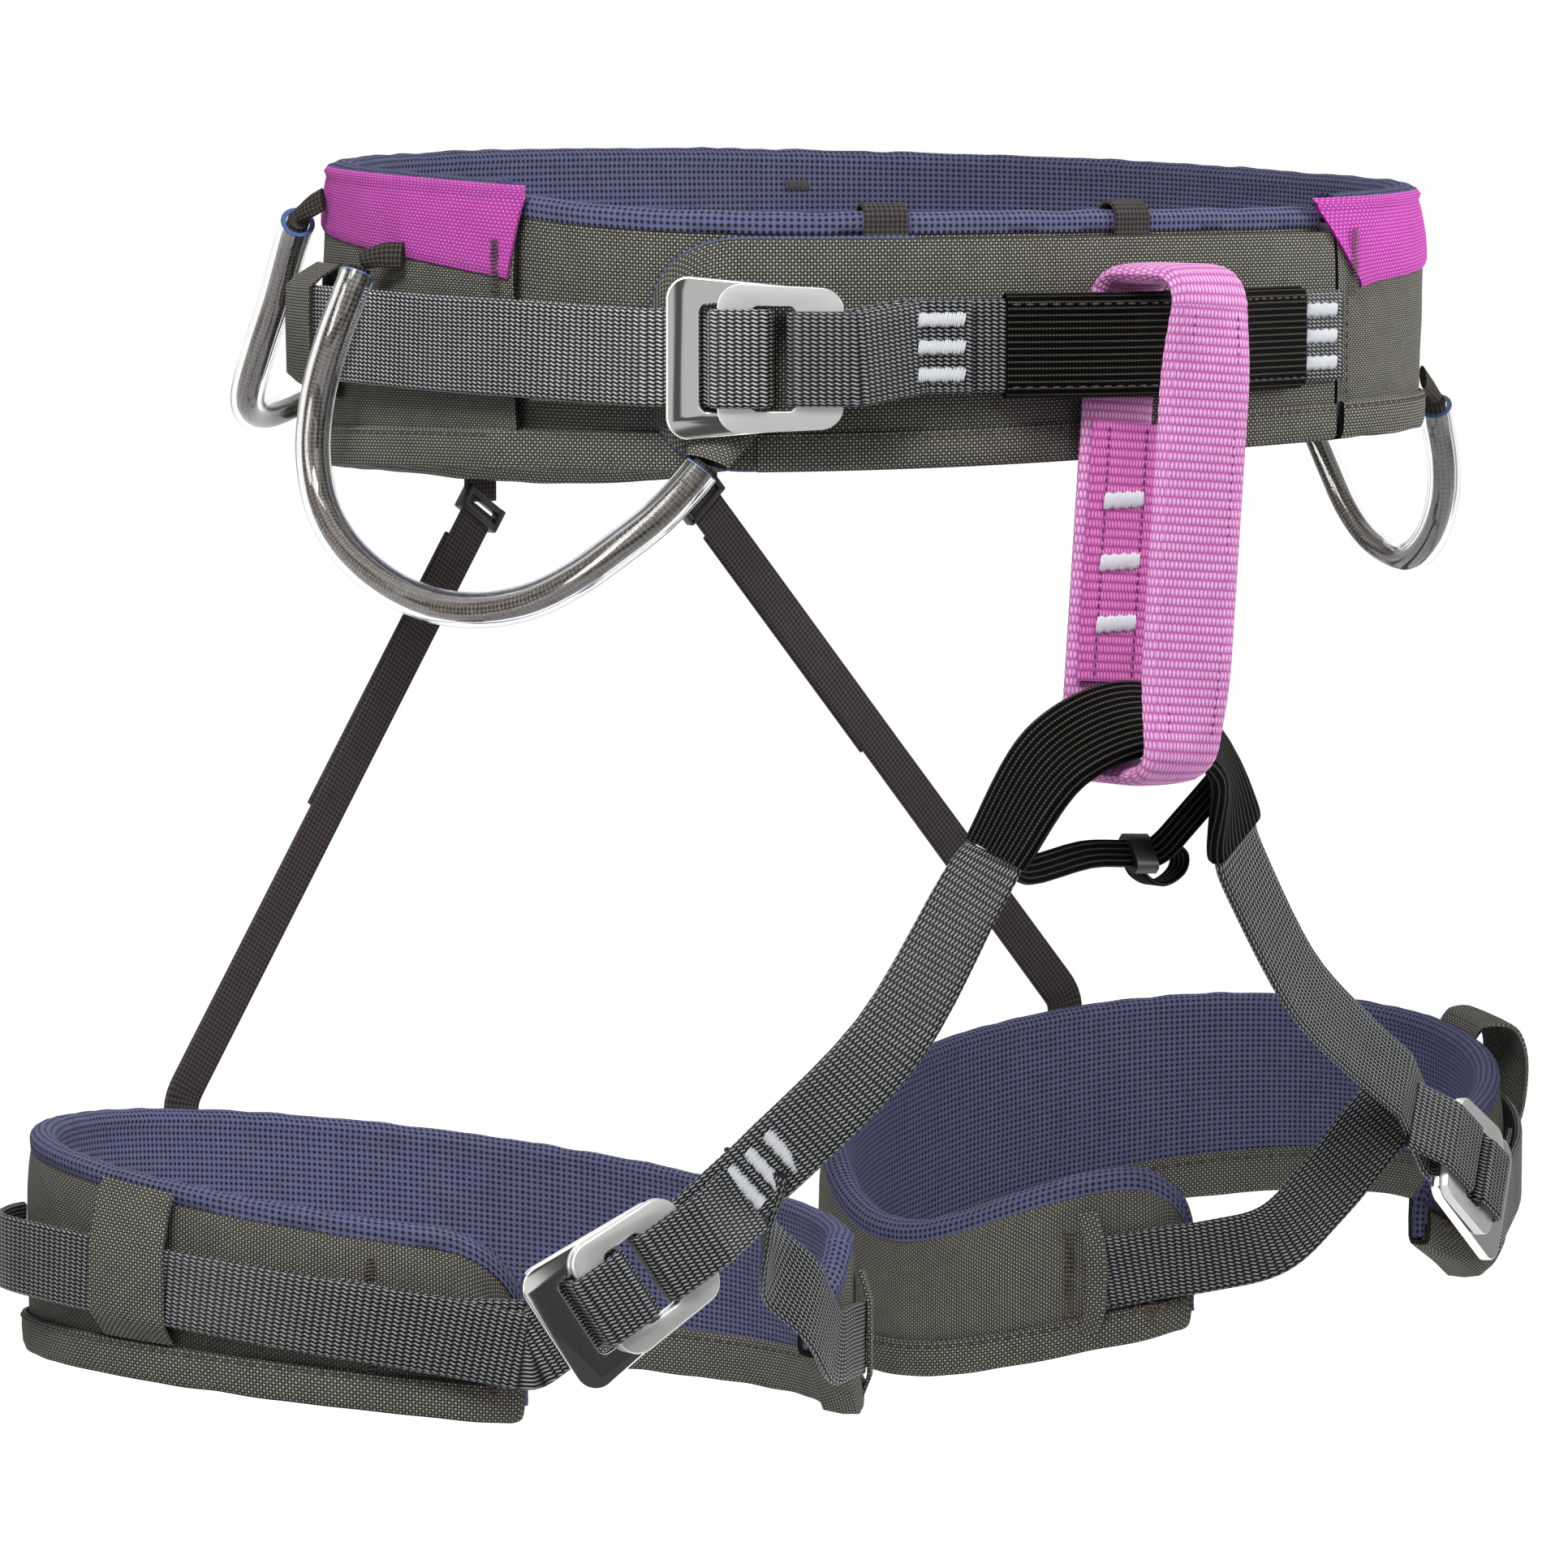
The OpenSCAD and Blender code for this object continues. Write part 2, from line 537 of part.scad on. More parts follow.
// Rows of white bar tacks on the tie-in strap
bartack_t = 0.6;
bartack_h = 4.5;
bartack_pitch = 7.2;
bartack_rows = [-1, 0, 1];
tie_in_tacks = [[321, 326.5, sewn_lift + 1.1], [381.5, 386.5, 0.3]];
module tie_in_bartacks() {
    color(thread) for (tack = tie_in_tacks) for (row = bartack_rows) {
        mid = waist_web_z + 1 + row * bartack_pitch;
        lift = web_t / 2 + layer_gap + tack[2];
        belt_layer(steps(tack[0], tack[1], 2), function(phi) let (off = tie_in_off_at(phi) + lift)
            slab(off, off + bartack_t, mid - bartack_h / 2, mid + bartack_h / 2));
    }
}

// Belay loop: a stadium of tape hung on the tie-in sleeve
sleeve_h = tie_in_w + 2 * (sleeve_t + strap_gap);
belay_seat = 1.4;
belay_top = waist_web_z + 1 + sleeve_h / 2 + strap_gap + belay_seat + belay_t;
belay_y = -(belt_half_d + flap_out + belay_air + belay_depth / 2);
belay_corner = 8;
belay_low = belay_top - belay_h;
belay_arc = 18;
belay_lean = 4.6;
belay_hang = [belay_x, belay_y, belay_top];
// Leans the loop on the tie-in sleeve, its lower end towards the wearer's right
module belay_hung() translate(belay_hang) rotate([0, belay_lean, 0]) translate(-belay_hang) children();
// Ring of the tape at a turn of the loop; each quarter turn is one corner
function belay_ring(quarter, a) = let (
    y = belay_y + (quarter == 0 || quarter == 3 ? -1 : 1) * (belay_depth / 2 - belay_t / 2 - belay_corner),
    z = quarter < 2 ? belay_top - belay_t / 2 - belay_corner : belay_low + belay_t / 2 + belay_corner,
    out = [0, -cos(a), sin(a)], centre = [belay_x, y, z] + out * belay_corner,
    side = [belay_w / 2, 0, 0], edge = out * belay_t / 2)
    [centre + edge - side, centre + edge + side, centre - edge + side, centre - edge - side];
module belay_loop() {
    color(pink) belay_hung() sweep([for (quarter = [0 : 3]) for (a = [0 : belay_arc : 90])
        belay_ring(quarter, quarter * 90 + a)], true);
}
// End of the tape sewn inside the rear strand, and its bar tacks
belay_rear = belay_y + belay_depth / 2 - belay_t;
overlap_t = 1.4;
overlap_top = -26;
overlap_low = -92;
module belay_overlap() {
    color(pink) belay_hung()
        translate([belay_x - belay_w / 2 + 0.5, belay_rear - layer_gap - overlap_t, overlap_low])
            cube([belay_w - 1, overlap_t, overlap_top - overlap_low]);
}
belay_tack_z = [-45, -61, -77];
belay_tack_w = 13;
belay_tack_y = belay_rear - 2 * layer_gap - overlap_t - bartack_t;
module belay_bartacks() {
    color(thread) belay_hung() for (z = belay_tack_z)
        translate([belay_x - belay_tack_w / 2, belay_tack_y, z - bartack_h / 2])
            cube([belay_tack_w, bartack_t, bartack_h]);
}

// Gear loops: [angle, offset, height] from the upper end to the lower end of the right-hand loops
gear_front = [[260.5, 16, 14.5], [257.5, 20.5, 13], [254.5, 23.5, 2], [253.3, 23.7, -16], [254.3, 24.2, -36],
    [257.5, 25, -53], [263, 25.5, -66], [271, 25, -73], [280, 23, -70.5], [288, 19, -62], [295.5, 14, -50],
    [300.8, 8.5, -39.8]];
gear_rear = [[242, 16, 26], [239.5, 17.5, 20], [236, 22, 5], [233.5, 28, -10], [230.5, 34, -24],
    [225, 36, -29.5], [218, 34, -25], [211, 28, -12], [206.5, 20.5, 1], [204, 16, 7]];
gear_steps = 2;
gear_sides = 8;
function other_side(keys) = [for (q = keys) [360 - q[0], q[1], q[2]]];
// The left front loop ends higher, on the outside of the belt
gear_front_left = concat(other_side([for (i = [0 : 8]) gear_front[i]]),
    [[66, 21.5, -57], [60.5, 19.5, -42], [57.5, 17, -27]]);
function gear_path(keys) = [for (q = curve(keys, gear_steps)) belt_at(q[0], q[1], q[2])];
function gear_side(keys) = [for (q = curve(keys, gear_steps)) belt_out(q[0])];
module gear_tube(keys) {
    color(clear, 0.5) pipe_wall(round_rings(gear_path(keys), gear_side(keys), tube_d / 2, gear_sides),
        round_rings(gear_path(keys), gear_side(keys), tube_bore / 2, gear_sides));
}
module gear_cord(keys) color(black) rod(gear_path(keys), gear_side(keys), gear_cord_d / 2, 6);
module gear_tube_right_front() gear_tube(gear_front);
module gear_cord_right_front() gear_cord(gear_front);
module gear_tube_left_front() gear_tube(gear_front_left);
module gear_cord_left_front() gear_cord(gear_front_left);
module gear_tube_right_rear() gear_tube(gear_rear);
module gear_cord_right_rear() gear_cord(gear_rear);
module gear_tube_left_rear() gear_tube(other_side(gear_rear));
module gear_cord_left_rear() gear_cord(other_side(gear_rear));
// Sewn tabs that hold the gear loops' ends: a loop's end and the belt place it is sewn to
tab_w = 8;
tab_t = 1.8;
tab_seat = shell_out + layer_gap + tab_t / 2;
tab_gap = 1.9;
hem_low = -shell_t - 2 * layer_gap;
module gear_tab(keys, from_end, seat, face) {
    path = gear_path(keys);
    n = len(path) - 1;
    tip = from_end ? path[n] : path[0];
    away = unit(tip - (from_end ? path[n - 1] : path[1]));
    pts = [tip + away * tab_gap, belt_at(seat[0], seat[1], seat[2])];
    across = cross(face, pts[1] - pts[0]);
    strap(pts, same(across, pts), tab_w, tab_t);
}
module gear_loop_tabs() {
    color(black) {
        gear_tab(gear_front, false, [264.5, tab_seat + 0.3, 11.5], belt_out(264.5));
        gear_tab(gear_front, true, [305, 3, flap_bottom - tab_t], [0, 0, 1]);
        gear_tab(gear_rear, false, [245, tab_seat + 0.2, 31.5], belt_out(245));
        gear_tab(gear_rear, true, [199.5, tab_seat, 13], belt_out(199.5));
        gear_tab(gear_front_left, false, [95.5, tab_seat + 0.3, 11.5], belt_out(95.5));
        gear_tab(gear_front_left, true, [55.8, tab_seat, -18], belt_out(55.8));
        gear_tab(other_side(gear_rear), false, [115, tab_seat + 0.2, 31.5], belt_out(115));
        gear_tab(other_side(gear_rear), true, [160.5, tab_seat, 13], belt_out(160.5));
    }
}

// Rear risers: elastic from an adjuster under the belt's hem to the back of a leg loop
riser_at = 203;
riser_off = 5;
adjuster_len = 10;
adjuster_wall = 1.8;
adjuster_air = 0.4;
adjuster_drop = 11;
adjuster_top = belt_bottom(riser_at) + hem_low - adjuster_drop;
riser_leg_right = 112;
riser_leg_left = 126;
riser_sewn = 14;
riser_top = belt_at(riser_at, riser_off, adjuster_top - 0.5);
function riser_rim(t) = leg_at(t, leg_shell_out + riser_t / 2 + 1, leg_top(t) + 3);
function riser_foot(t) = leg_at(t, leg_shell_out + riser_t / 2 + 0.4, leg_top(t) - riser_sewn);
function riser_dir(t) = unit(riser_rim(t) - riser_top);
function riser_across(t) = unit(cross(riser_dir(t), belt_out(riser_at)));
module rear_riser(t) {
    pts = [riser_top, mix(riser_top, riser_rim(t), 0.5), riser_rim(t), riser_foot(t)];
    wide = riser_across(t);
    across = [wide, wide, mix(wide, -leg_along(t), 0.6), -leg_along(t)];
    color(black) strap(pts, across, riser_w, riser_t);
}
module rear_riser_right() rear_riser(riser_leg_right);
module rear_riser_left() left_leg() rear_riser(riser_leg_left);
module riser_adjuster(t) {
    pts = [riser_top + riser_dir(t) * 0.2, riser_top + riser_dir(t) * adjuster_len];
    add = 2 * (adjuster_wall + adjuster_air);
    sleeve(pts, same(riser_across(t), pts), riser_w + add, riser_t + add, adjuster_wall);
}
module riser_adjusters() {
    color(black) {
        riser_adjuster(riser_leg_right);
        left_leg() riser_adjuster(riser_leg_left);
    }
}
// Short webbing tabs from the hem to the adjusters
module riser_tab(t) {
    hem = belt_at(riser_at, riser_off, belt_bottom(riser_at) + hem_low - 0.8);
    pts = [hem, [riser_top.x, riser_top.y, riser_top.z + 6]];
    strap(pts, same(riser_across(t), pts), riser_w, riser_t);
}
module riser_tabs() {
    color(black) {
        riser_tab(riser_leg_right);
        left_leg() riser_tab(riser_leg_left);
    }
}

// Leg loops, drawn for the right leg
leg_angles = steps(leg_from, leg_to, leg_step);
module leg_lining() {
    color(mesh_blue) leg_layer(leg_angles, function(t)
        slab(0, lining_t, leg_bottom(t), leg_top(t) + lining_t));
}
module leg_foam() {
    color(foam_white) leg_layer(leg_angles, function(t)
        crowned(function(v) foam_in, function(v) leg_face(v) - shell_t - layer_gap,
            leg_bottom(t), leg_top(t)));
}
module leg_shell() {
    color(grey) leg_layer(leg_angles, function(t)
        crowned(function(v) leg_face(v) - shell_t, leg_face, leg_bottom(t), leg_top(t)));
}
module leg_hem() {
    color(grey) leg_layer(leg_angles, function(t) hem_section(leg_face, leg_bottom(t), leg_top(t), shell_t));
}
// Buckle at the outer front of the thigh, in line with the riser
leg_buckle_o = [-154, -77, -245];
leg_buckle_u = unit([0.80, -0.25, 0.52]);
leg_buckle_face = [-0.35, -0.93, 0.1];
leg_buckle_n = unit(leg_buckle_face - leg_buckle_u * (leg_buckle_face * leg_buckle_u));
leg_buckle_v = cross(leg_buckle_n, leg_buckle_u);
// Route of the leg webbing on the pad: [angle, offset of its middle, height]
leg_web_seat = leg_shell_out + strap_gap + web_t / 2;
leg_web_route = [[158, leg_web_seat, -1], [168, leg_web_seat + 4, -1], [178, leg_web_seat + 8, -1],
    [188, leg_web_seat + 5, -1], [199, leg_web_seat + 2.6, -1], [215, leg_web_seat + 2.6, -1],
    [232, leg_web_seat + 2.6, -2], [248, leg_web_seat + 3.5, -3]];
leg_tail_route = [[250, leg_web_seat + 0.4, -4], [236, leg_web_seat, -2]];
function on_leg(q) = leg_at(q[0], q[1], q[2]);
module leg_webbing() {
    wrap = framed(adjustable_wrap(), leg_buckle_o, leg_buckle_u, leg_buckle_n);
    on_pad = [for (q = curve(leg_web_route, 2)) on_leg(q)];
    tail = [for (q = curve(leg_tail_route, 3)) on_leg(q)];
    color(web_grey) strap(concat(on_pad, wrap, tail),
        concat(same([0, 0, 1], on_pad), same(leg_buckle_v, wrap), same([0, 0, 1], tail)), leg_web_w, web_t);
}
module leg_buckle_frame() in_frame(leg_buckle_o, leg_buckle_u, leg_buckle_n) buckle_frame(leg_web_w);
module leg_buckle_slider() in_frame(leg_buckle_o, leg_buckle_u, leg_buckle_n) buckle_slider(leg_web_w);
// Band sewn to the pad's top and hem that keeps the webbing in place
keeper_at = 206;
keeper_t = 1;
module leg_keeper() {
    half = leg_keeper_w / leg_half_w * 90 / PI;
    rise = leg_web_seat + 2.6 + web_t / 2 + strap_gap;
    half_web = leg_web_w / 2 + strap_gap;
    color(grey) leg_layer(steps(keeper_at - half, keeper_at + half, leg_step), function(t) let (
        foot = leg_shell_out + layer_gap, top = leg_top(t) - 1,
        low = leg_bottom(t) + hem_outer_h + layer_gap) [
        [foot + keeper_t, low], [rise + keeper_t, -1 - half_web], [rise + keeper_t, -1 + half_web],
        [foot + keeper_t, top], [foot, top], [rise, -1 + half_web], [rise, -1 - half_web], [foot, low]]);
}
// Strap from the riser to the inner end of the pad
inner_seat = leg_shell_out + strap_gap + web_t / 2;
module leg_inner_strap() {
    pts = curve([[-117, -77.5, -227], [-100, -75.5, -243], [-84, -72, -256], leg_at(-44, inner_seat + 1, -1),
        leg_at(-36, inner_seat, -1), leg_at(-27, inner_seat, -1)], 2);
    across = [for (i = [0 : len(pts) - 1]) mix(leg_buckle_v, [0, 0, 1], min(1, i / 5))];
    color(web_grey) strap(pts, across, leg_web_w, web_t);
}
module leg_lining_right() leg_lining();
module leg_foam_right() leg_foam();
module leg_shell_right() leg_shell();
module leg_hem_right() leg_hem();
module leg_webbing_right() leg_webbing();
module leg_buckle_frame_right() leg_buckle_frame();
module leg_buckle_slider_right() leg_buckle_slider();
module leg_keeper_right() leg_keeper();
module leg_inner_strap_right() leg_inner_strap();
module leg_lining_left() left_leg() leg_lining();
module leg_foam_left() left_leg() leg_foam();
module leg_shell_left() left_leg() leg_shell();
module leg_hem_left() left_leg() leg_hem();
module leg_webbing_left() left_leg() leg_webbing();
module leg_buckle_frame_left() left_leg() leg_buckle_frame();
module leg_buckle_slider_left() left_leg() leg_buckle_slider();
module leg_keeper_left() left_leg() leg_keeper();
module leg_inner_strap_left() left_leg() leg_inner_strap();

// Front risers: from a leg buckle up to the sleeved arch that the belay loop holds
arch_w = 22;
arch_t = 5;
arch_lift = 16.2;
arch_apex = [belay_x - belay_h * sin(belay_lean) * 0.93, belay_y, belay_low + belay_t + arch_lift];
arch_right = [-72, -132, -132];
arch_left = [15, -127, -134];
arch_right_key = [-59, -139, -108];
arch_left_key = [-3, -137, -109];
arch_gap = 2.0;
apex_across = [0, 0.74, 0.67];
arch_right_across = [-0.45, 0.66, 0.55];
arch_left_across = [0.45, 0.66, 0.55];
function mirrored(p) = [-p.x, p.y, p.z];
module leg_arch_sleeve() {
    pts = curve([arch_right, arch_right_key, arch_apex, arch_left_key, arch_left], 3);
    turns = curve([arch_right_across, mix(arch_right_across, apex_across, 0.7), apex_across,
        mix(arch_left_across, apex_across, 0.7), arch_left_across], 3);
    color(black) strap(pts, turns, arch_w, arch_t);
}
module front_riser(keys, across_top, flip) {
    wrap = framed(concat([sewn_end], fixed_wrap()), leg_buckle_o, leg_buckle_u, leg_buckle_n);
    start = [for (p = wrap) flip ? mirrored(p) : p];
    v = flip ? mirrored(leg_buckle_v) : leg_buckle_v;
    rise = curve(keys, 2);
    n = len(rise) - 1;
    across = concat(same(v, start), [for (i = [0 : n]) mix(v, across_top, i / n)]);
    color(web_grey) strap(concat(start, rise), across, leg_web_w, web_t);
}
arch_right_start = unit(arch_right_key - arch_right);
arch_left_start = unit(arch_left_key - arch_left);
module front_riser_right() {
    front_riser([[-116, -91, -215], [-93, -112, -183], arch_right - arch_right_start * 14,
        arch_right - arch_right_start * arch_gap], arch_right_across, false);
}
module front_riser_left() {
    front_riser([[116, -90, -214], [92, -96, -200], [56, -110, -178], arch_left - arch_left_start * 14,
        arch_left - arch_left_start * arch_gap], arch_left_across, true);
}
// Thin strap with an adjuster that ties the two leg loops together
bridge_route = [[-63, -136, -140], [-48, -128, -142], [-24, -122, -141], [-4, -122, -139], [8.5, -126.6, -133.8]];
bridge_across = [0, 0.5, 0.86];
bridge_pts = curve(bridge_route, 2);
module bridge_strap() color(black) strap(bridge_pts, same(bridge_across, bridge_pts), bridge_w, bridge_t);
module bridge_adjuster() {
    pts = [mix(bridge_pts[5], bridge_pts[6], 0.1), mix(bridge_pts[5], bridge_pts[6], 0.95)];
    add = 2 * (adjuster_wall + adjuster_air);
    color(black) sleeve(pts, same(bridge_across, pts), bridge_w + add, bridge_t + add, adjuster_wall);
}

waist_lining();
waist_foam();
waist_shell();
waist_hem();
right_hip_panel();
left_hip_panel();
front_panel_lining();
front_panel_foam();
front_panel_shell();
front_flap_foam();
front_flap_shell();
flap_keepers();
webbing_tunnel();
waist_webbing();
waist_buckle_frame();
waist_buckle_slider();
tie_in_strap();
tie_in_sleeve();
tie_in_bartacks();
belay_loop();
belay_overlap();
belay_bartacks();
gear_tube_right_front();
gear_cord_right_front();
gear_tube_left_front();
gear_cord_left_front();
gear_tube_right_rear();
gear_cord_right_rear();
gear_tube_left_rear();
gear_cord_left_rear();
gear_loop_tabs();
riser_adjusters();
riser_tabs();
rear_riser_right();
rear_riser_left();
leg_arch_sleeve();
bridge_strap();
bridge_adjuster();
front_riser_right();
front_riser_left();
leg_lining_right();
leg_foam_right();
leg_shell_right();
leg_hem_right();
leg_webbing_right();
leg_buckle_frame_right();
leg_buckle_slider_right();
leg_keeper_right();
leg_inner_strap_right();
leg_lining_left();
leg_foam_left();
leg_shell_left();
leg_hem_left();
leg_webbing_left();
leg_buckle_frame_left();
leg_buckle_slider_left();
leg_keeper_left();
leg_inner_strap_left();
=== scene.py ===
"""Looks of a padded climbing harness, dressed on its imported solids.

Frame: origin in the middle of the waist opening, +Z up, -Y the wearer's front, +X the wearer's left.
Sizes are in millimetres and become metres where a surface or a path gives a point.
"""
from __future__ import annotations

import logging
import math
from dataclasses import dataclass, field, replace
from enum import Enum
from typing import Callable, ClassVar, Sequence

import bmesh
import bpy
from mathutils import Matrix, Vector, noise
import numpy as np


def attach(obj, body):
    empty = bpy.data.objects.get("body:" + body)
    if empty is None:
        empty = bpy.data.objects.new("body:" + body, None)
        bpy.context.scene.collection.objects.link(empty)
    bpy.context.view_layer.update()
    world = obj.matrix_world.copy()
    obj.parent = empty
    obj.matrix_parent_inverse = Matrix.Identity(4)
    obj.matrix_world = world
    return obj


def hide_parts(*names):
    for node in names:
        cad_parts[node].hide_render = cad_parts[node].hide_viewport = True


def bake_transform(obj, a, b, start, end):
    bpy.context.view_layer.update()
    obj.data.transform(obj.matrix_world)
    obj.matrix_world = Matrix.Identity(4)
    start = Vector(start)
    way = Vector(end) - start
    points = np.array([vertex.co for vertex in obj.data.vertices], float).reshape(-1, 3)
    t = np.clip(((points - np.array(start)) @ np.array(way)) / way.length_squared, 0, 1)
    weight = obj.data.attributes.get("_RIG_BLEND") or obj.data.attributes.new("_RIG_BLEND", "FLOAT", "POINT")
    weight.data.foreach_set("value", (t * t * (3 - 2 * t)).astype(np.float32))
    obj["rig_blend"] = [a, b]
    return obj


LOG = logging.getLogger("harness")
MM = 0.001
UP = Vector((0, 0, 1))
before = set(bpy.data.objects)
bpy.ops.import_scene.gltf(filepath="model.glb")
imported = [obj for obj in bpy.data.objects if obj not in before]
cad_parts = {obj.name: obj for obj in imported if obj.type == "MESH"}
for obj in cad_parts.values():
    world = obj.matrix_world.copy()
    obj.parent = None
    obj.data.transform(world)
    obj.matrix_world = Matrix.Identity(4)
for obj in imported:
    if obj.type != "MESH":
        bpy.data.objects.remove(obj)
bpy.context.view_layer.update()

WHITE = (1, 1, 1, 1)
# Points nearer than this, in metres, are one point.
MERGE = 1e-6
# Length of a white bar tack and of its threads, in mm.
WHITE_TACK = (12.5, 4.4)
# Height of a hem's stitches and how far they stand off it, in mm.
HEM_SEAM = (7.6, 0.1)
# How far a tube's cut rim stays inside its wall, in mm.
RIM_INSET = 0.15

MADE: dict[str, bpy.types.Material] = {}
Ring = list[Vector]
Section = Sequence[tuple[float, float]]
Marks = list[tuple[Vector, Vector, float, float]]


def mix(a, b, share: float):
    """The value at a share of the way from a to b."""
    return a + (b - a) * share


def held(share: float) -> float:
    """A share kept between 0 and 1."""
    return min(1.0, max(0.0, share))


def smooth(share: float) -> float:
    """A share kept between 0 and 1, eased at both ends."""
    share = held(share)
    return share * share * (3 - 2 * share)


def squared(a: Vector, d: Vector) -> Vector:
    """Unit direction nearest to a that is square to the unit direction d."""
    return (a - d * a.dot(d)).normalized()


def point(*xyz: float) -> Vector:
    """A dataclass field that starts as a point or direction."""
    return field(default_factory=lambda: Vector(xyz))


def vectors(*keys: Sequence[float]) -> list[Vector]:
    """Points from their bare numbers."""
    return [Vector(k) for k in keys]


def crown(v: float) -> float:
    """Swell of a pad at a share of its height: 0 at its edges, 1 over the middle."""
    return 1 - abs(2 * v - 1) ** 4


def steps(start: float, end: float, step: float) -> list[float]:
    """Even values from start to end, about a step apart."""
    n = max(2, math.ceil(abs(end - start) / step))
    return [mix(start, end, i / n) for i in range(n + 1)]


def curve(points: Sequence[Vector], k: int) -> list[Vector]:
    """Smooth curve through points.

    Args:
        points: the points to pass.
        k: the parts between two of them.

    Returns:
        The points of the curve.
    """
    n, made = len(points) - 1, []
    for i in range(n):
        a, b = points[max(i - 1, 0)], points[i]
        c, d = points[i + 1], points[min(i + 2, n)]
        for j in range(k):
            f = j / k
            made.append(0.5 * (2 * b + (c - a) * f + (2 * a - 5 * b + 4 * c - d) * f * f
                               + (3 * b - 3 * c + d - a) * f ** 3))
    return made + [points[n].copy()]


def eased(points: Sequence[Vector], cut: float) -> list[Vector]:
    """A path whose inner corners are cut back by a length."""
    made = [points[0]]
    for i in range(1, len(points) - 1):
        for p in (points[i - 1], points[i + 1]):
            made.append(points[i] + (p - points[i]).normalized() * cut)
    return made + [points[-1]]


def lengths(points: Sequence[Vector]) -> list[float]:
    """Distance along a path at each of its points."""
    run = [0.0]
    for a, b in zip(points, points[1:]):
        run.append(run[-1] + (b - a).length)
    return run


def resample(points: Sequence[Vector], across: Sequence[Vector], step: float,
             rounds: int = 0) -> tuple[list[Vector], list[Vector]]:
    """Even points along a path, with its width directions.

    Args:
        points: the path.
        across: the direction of the width at each point.
        step: the distance between two new points.
        rounds: how often the path's corners are smoothed.

    Returns:
        The new points and their width directions.
    """
    run = lengths(points)
    n = max(2, round(run[-1] / step))
    made, wide, k = [], [], 0
    for i in range(n + 1):
        s = run[-1] * i / n
        while k < len(points) - 2 and run[k + 1] < s:
            k += 1
        f = (s - run[k]) / max(run[k + 1] - run[k], 1e-9)
        made.append(points[k].lerp(points[k + 1], min(f, 1.0)))
        wide.append(across[k].lerp(across[k + 1], min(f, 1.0)))
    for _ in range(rounds):
        made = [made[0]] + [(made[i - 1] + 2 * made[i] + made[i + 1]) / 4
                            for i in range(1, n)] + [made[n]]
    return made, wide


def tangents(points: Sequence[Vector]) -> list[Vector]:
    """Unit directions along a path."""
    n = len(points) - 1
    return [(points[min(i + 1, n)] - points[max(i - 1, 0)]).normalized() for i in range(n + 1)]


class Pattern(Enum):
    """How the threads of a cloth run."""

    PLAIN = "plain"
    WEAVE = "weave"
    MESH = "mesh"
    WEBBING = "webbing"
    TAPE = "tape"
    ELASTIC = "elastic"
    SLEEVE = "sleeve"
    BRAID = "braid"


def linear(rgb: Sequence[float]) -> tuple[float, float, float, float]:
    """Colour of 0 to 255 steps as linear light."""
    c = [x / 255 for x in rgb]
    r, g, b = (x / 12.92 if x <= 0.04045 else ((x + 0.055) / 1.055) ** 2.4 for x in c)
    return r, g, b, 1.0


class Tree:
    """Small helper that adds and links shader nodes."""

    def __init__(self, owner: bpy.types.Material | bpy.types.World) -> None:
        """Takes the nodes of a material or of the world."""
        owner.use_nodes = True
        self.tree = owner.node_tree
        self.nodes = self.tree.nodes

    def add(self, kind: str) -> bpy.types.Node:
        """A new node of a kind."""
        return self.nodes.new(kind)

    @property
    def shader(self) -> bpy.types.Node:
        """The material's own shader."""
        return self.nodes["Principled BSDF"]

    def math(self, operation: str, *values) -> bpy.types.NodeSocket:
        """A math node on numbers or sockets.

        Args:
            operation: the name of the sum.
            values: its inputs.

        Returns:
            The node's output.
        """
        node = self.add("ShaderNodeMath")
        node.operation = operation
        for i, value in enumerate(values):
            if isinstance(value, (int, float)):
                node.inputs[i].default_value = value
            else:
                self.link(value, node.inputs[i])
        return node.outputs[0]

    def link(self, a: bpy.types.NodeSocket, b: bpy.types.NodeSocket) -> None:
        """Joins an output to an input."""
        self.tree.links.new(a, b)

    def seen_as(self, lit: bpy.types.Node, shown: bpy.types.Node, out: str) -> None:
        """Shows one shader to the camera, to metal and to tubing, and lights the scene by another.

        Args:
            lit: the shader that lights the scene.
            shown: the shader that is seen.
            out: name of the output node.
        """
        rays = self.add("ShaderNodeLightPath").outputs
        bent = self.math("MAXIMUM", rays["Is Glossy Ray"], rays["Is Transmission Ray"])
        blend = self.add("ShaderNodeMixShader")
        self.link(self.math("MAXIMUM", rays["Is Camera Ray"], bent), blend.inputs[0])
        self.link(lit.outputs[0], blend.inputs[1])
        self.link(shown.outputs[0], blend.inputs[2])
        self.link(blend.outputs[0], self.nodes[out].inputs["Surface"])


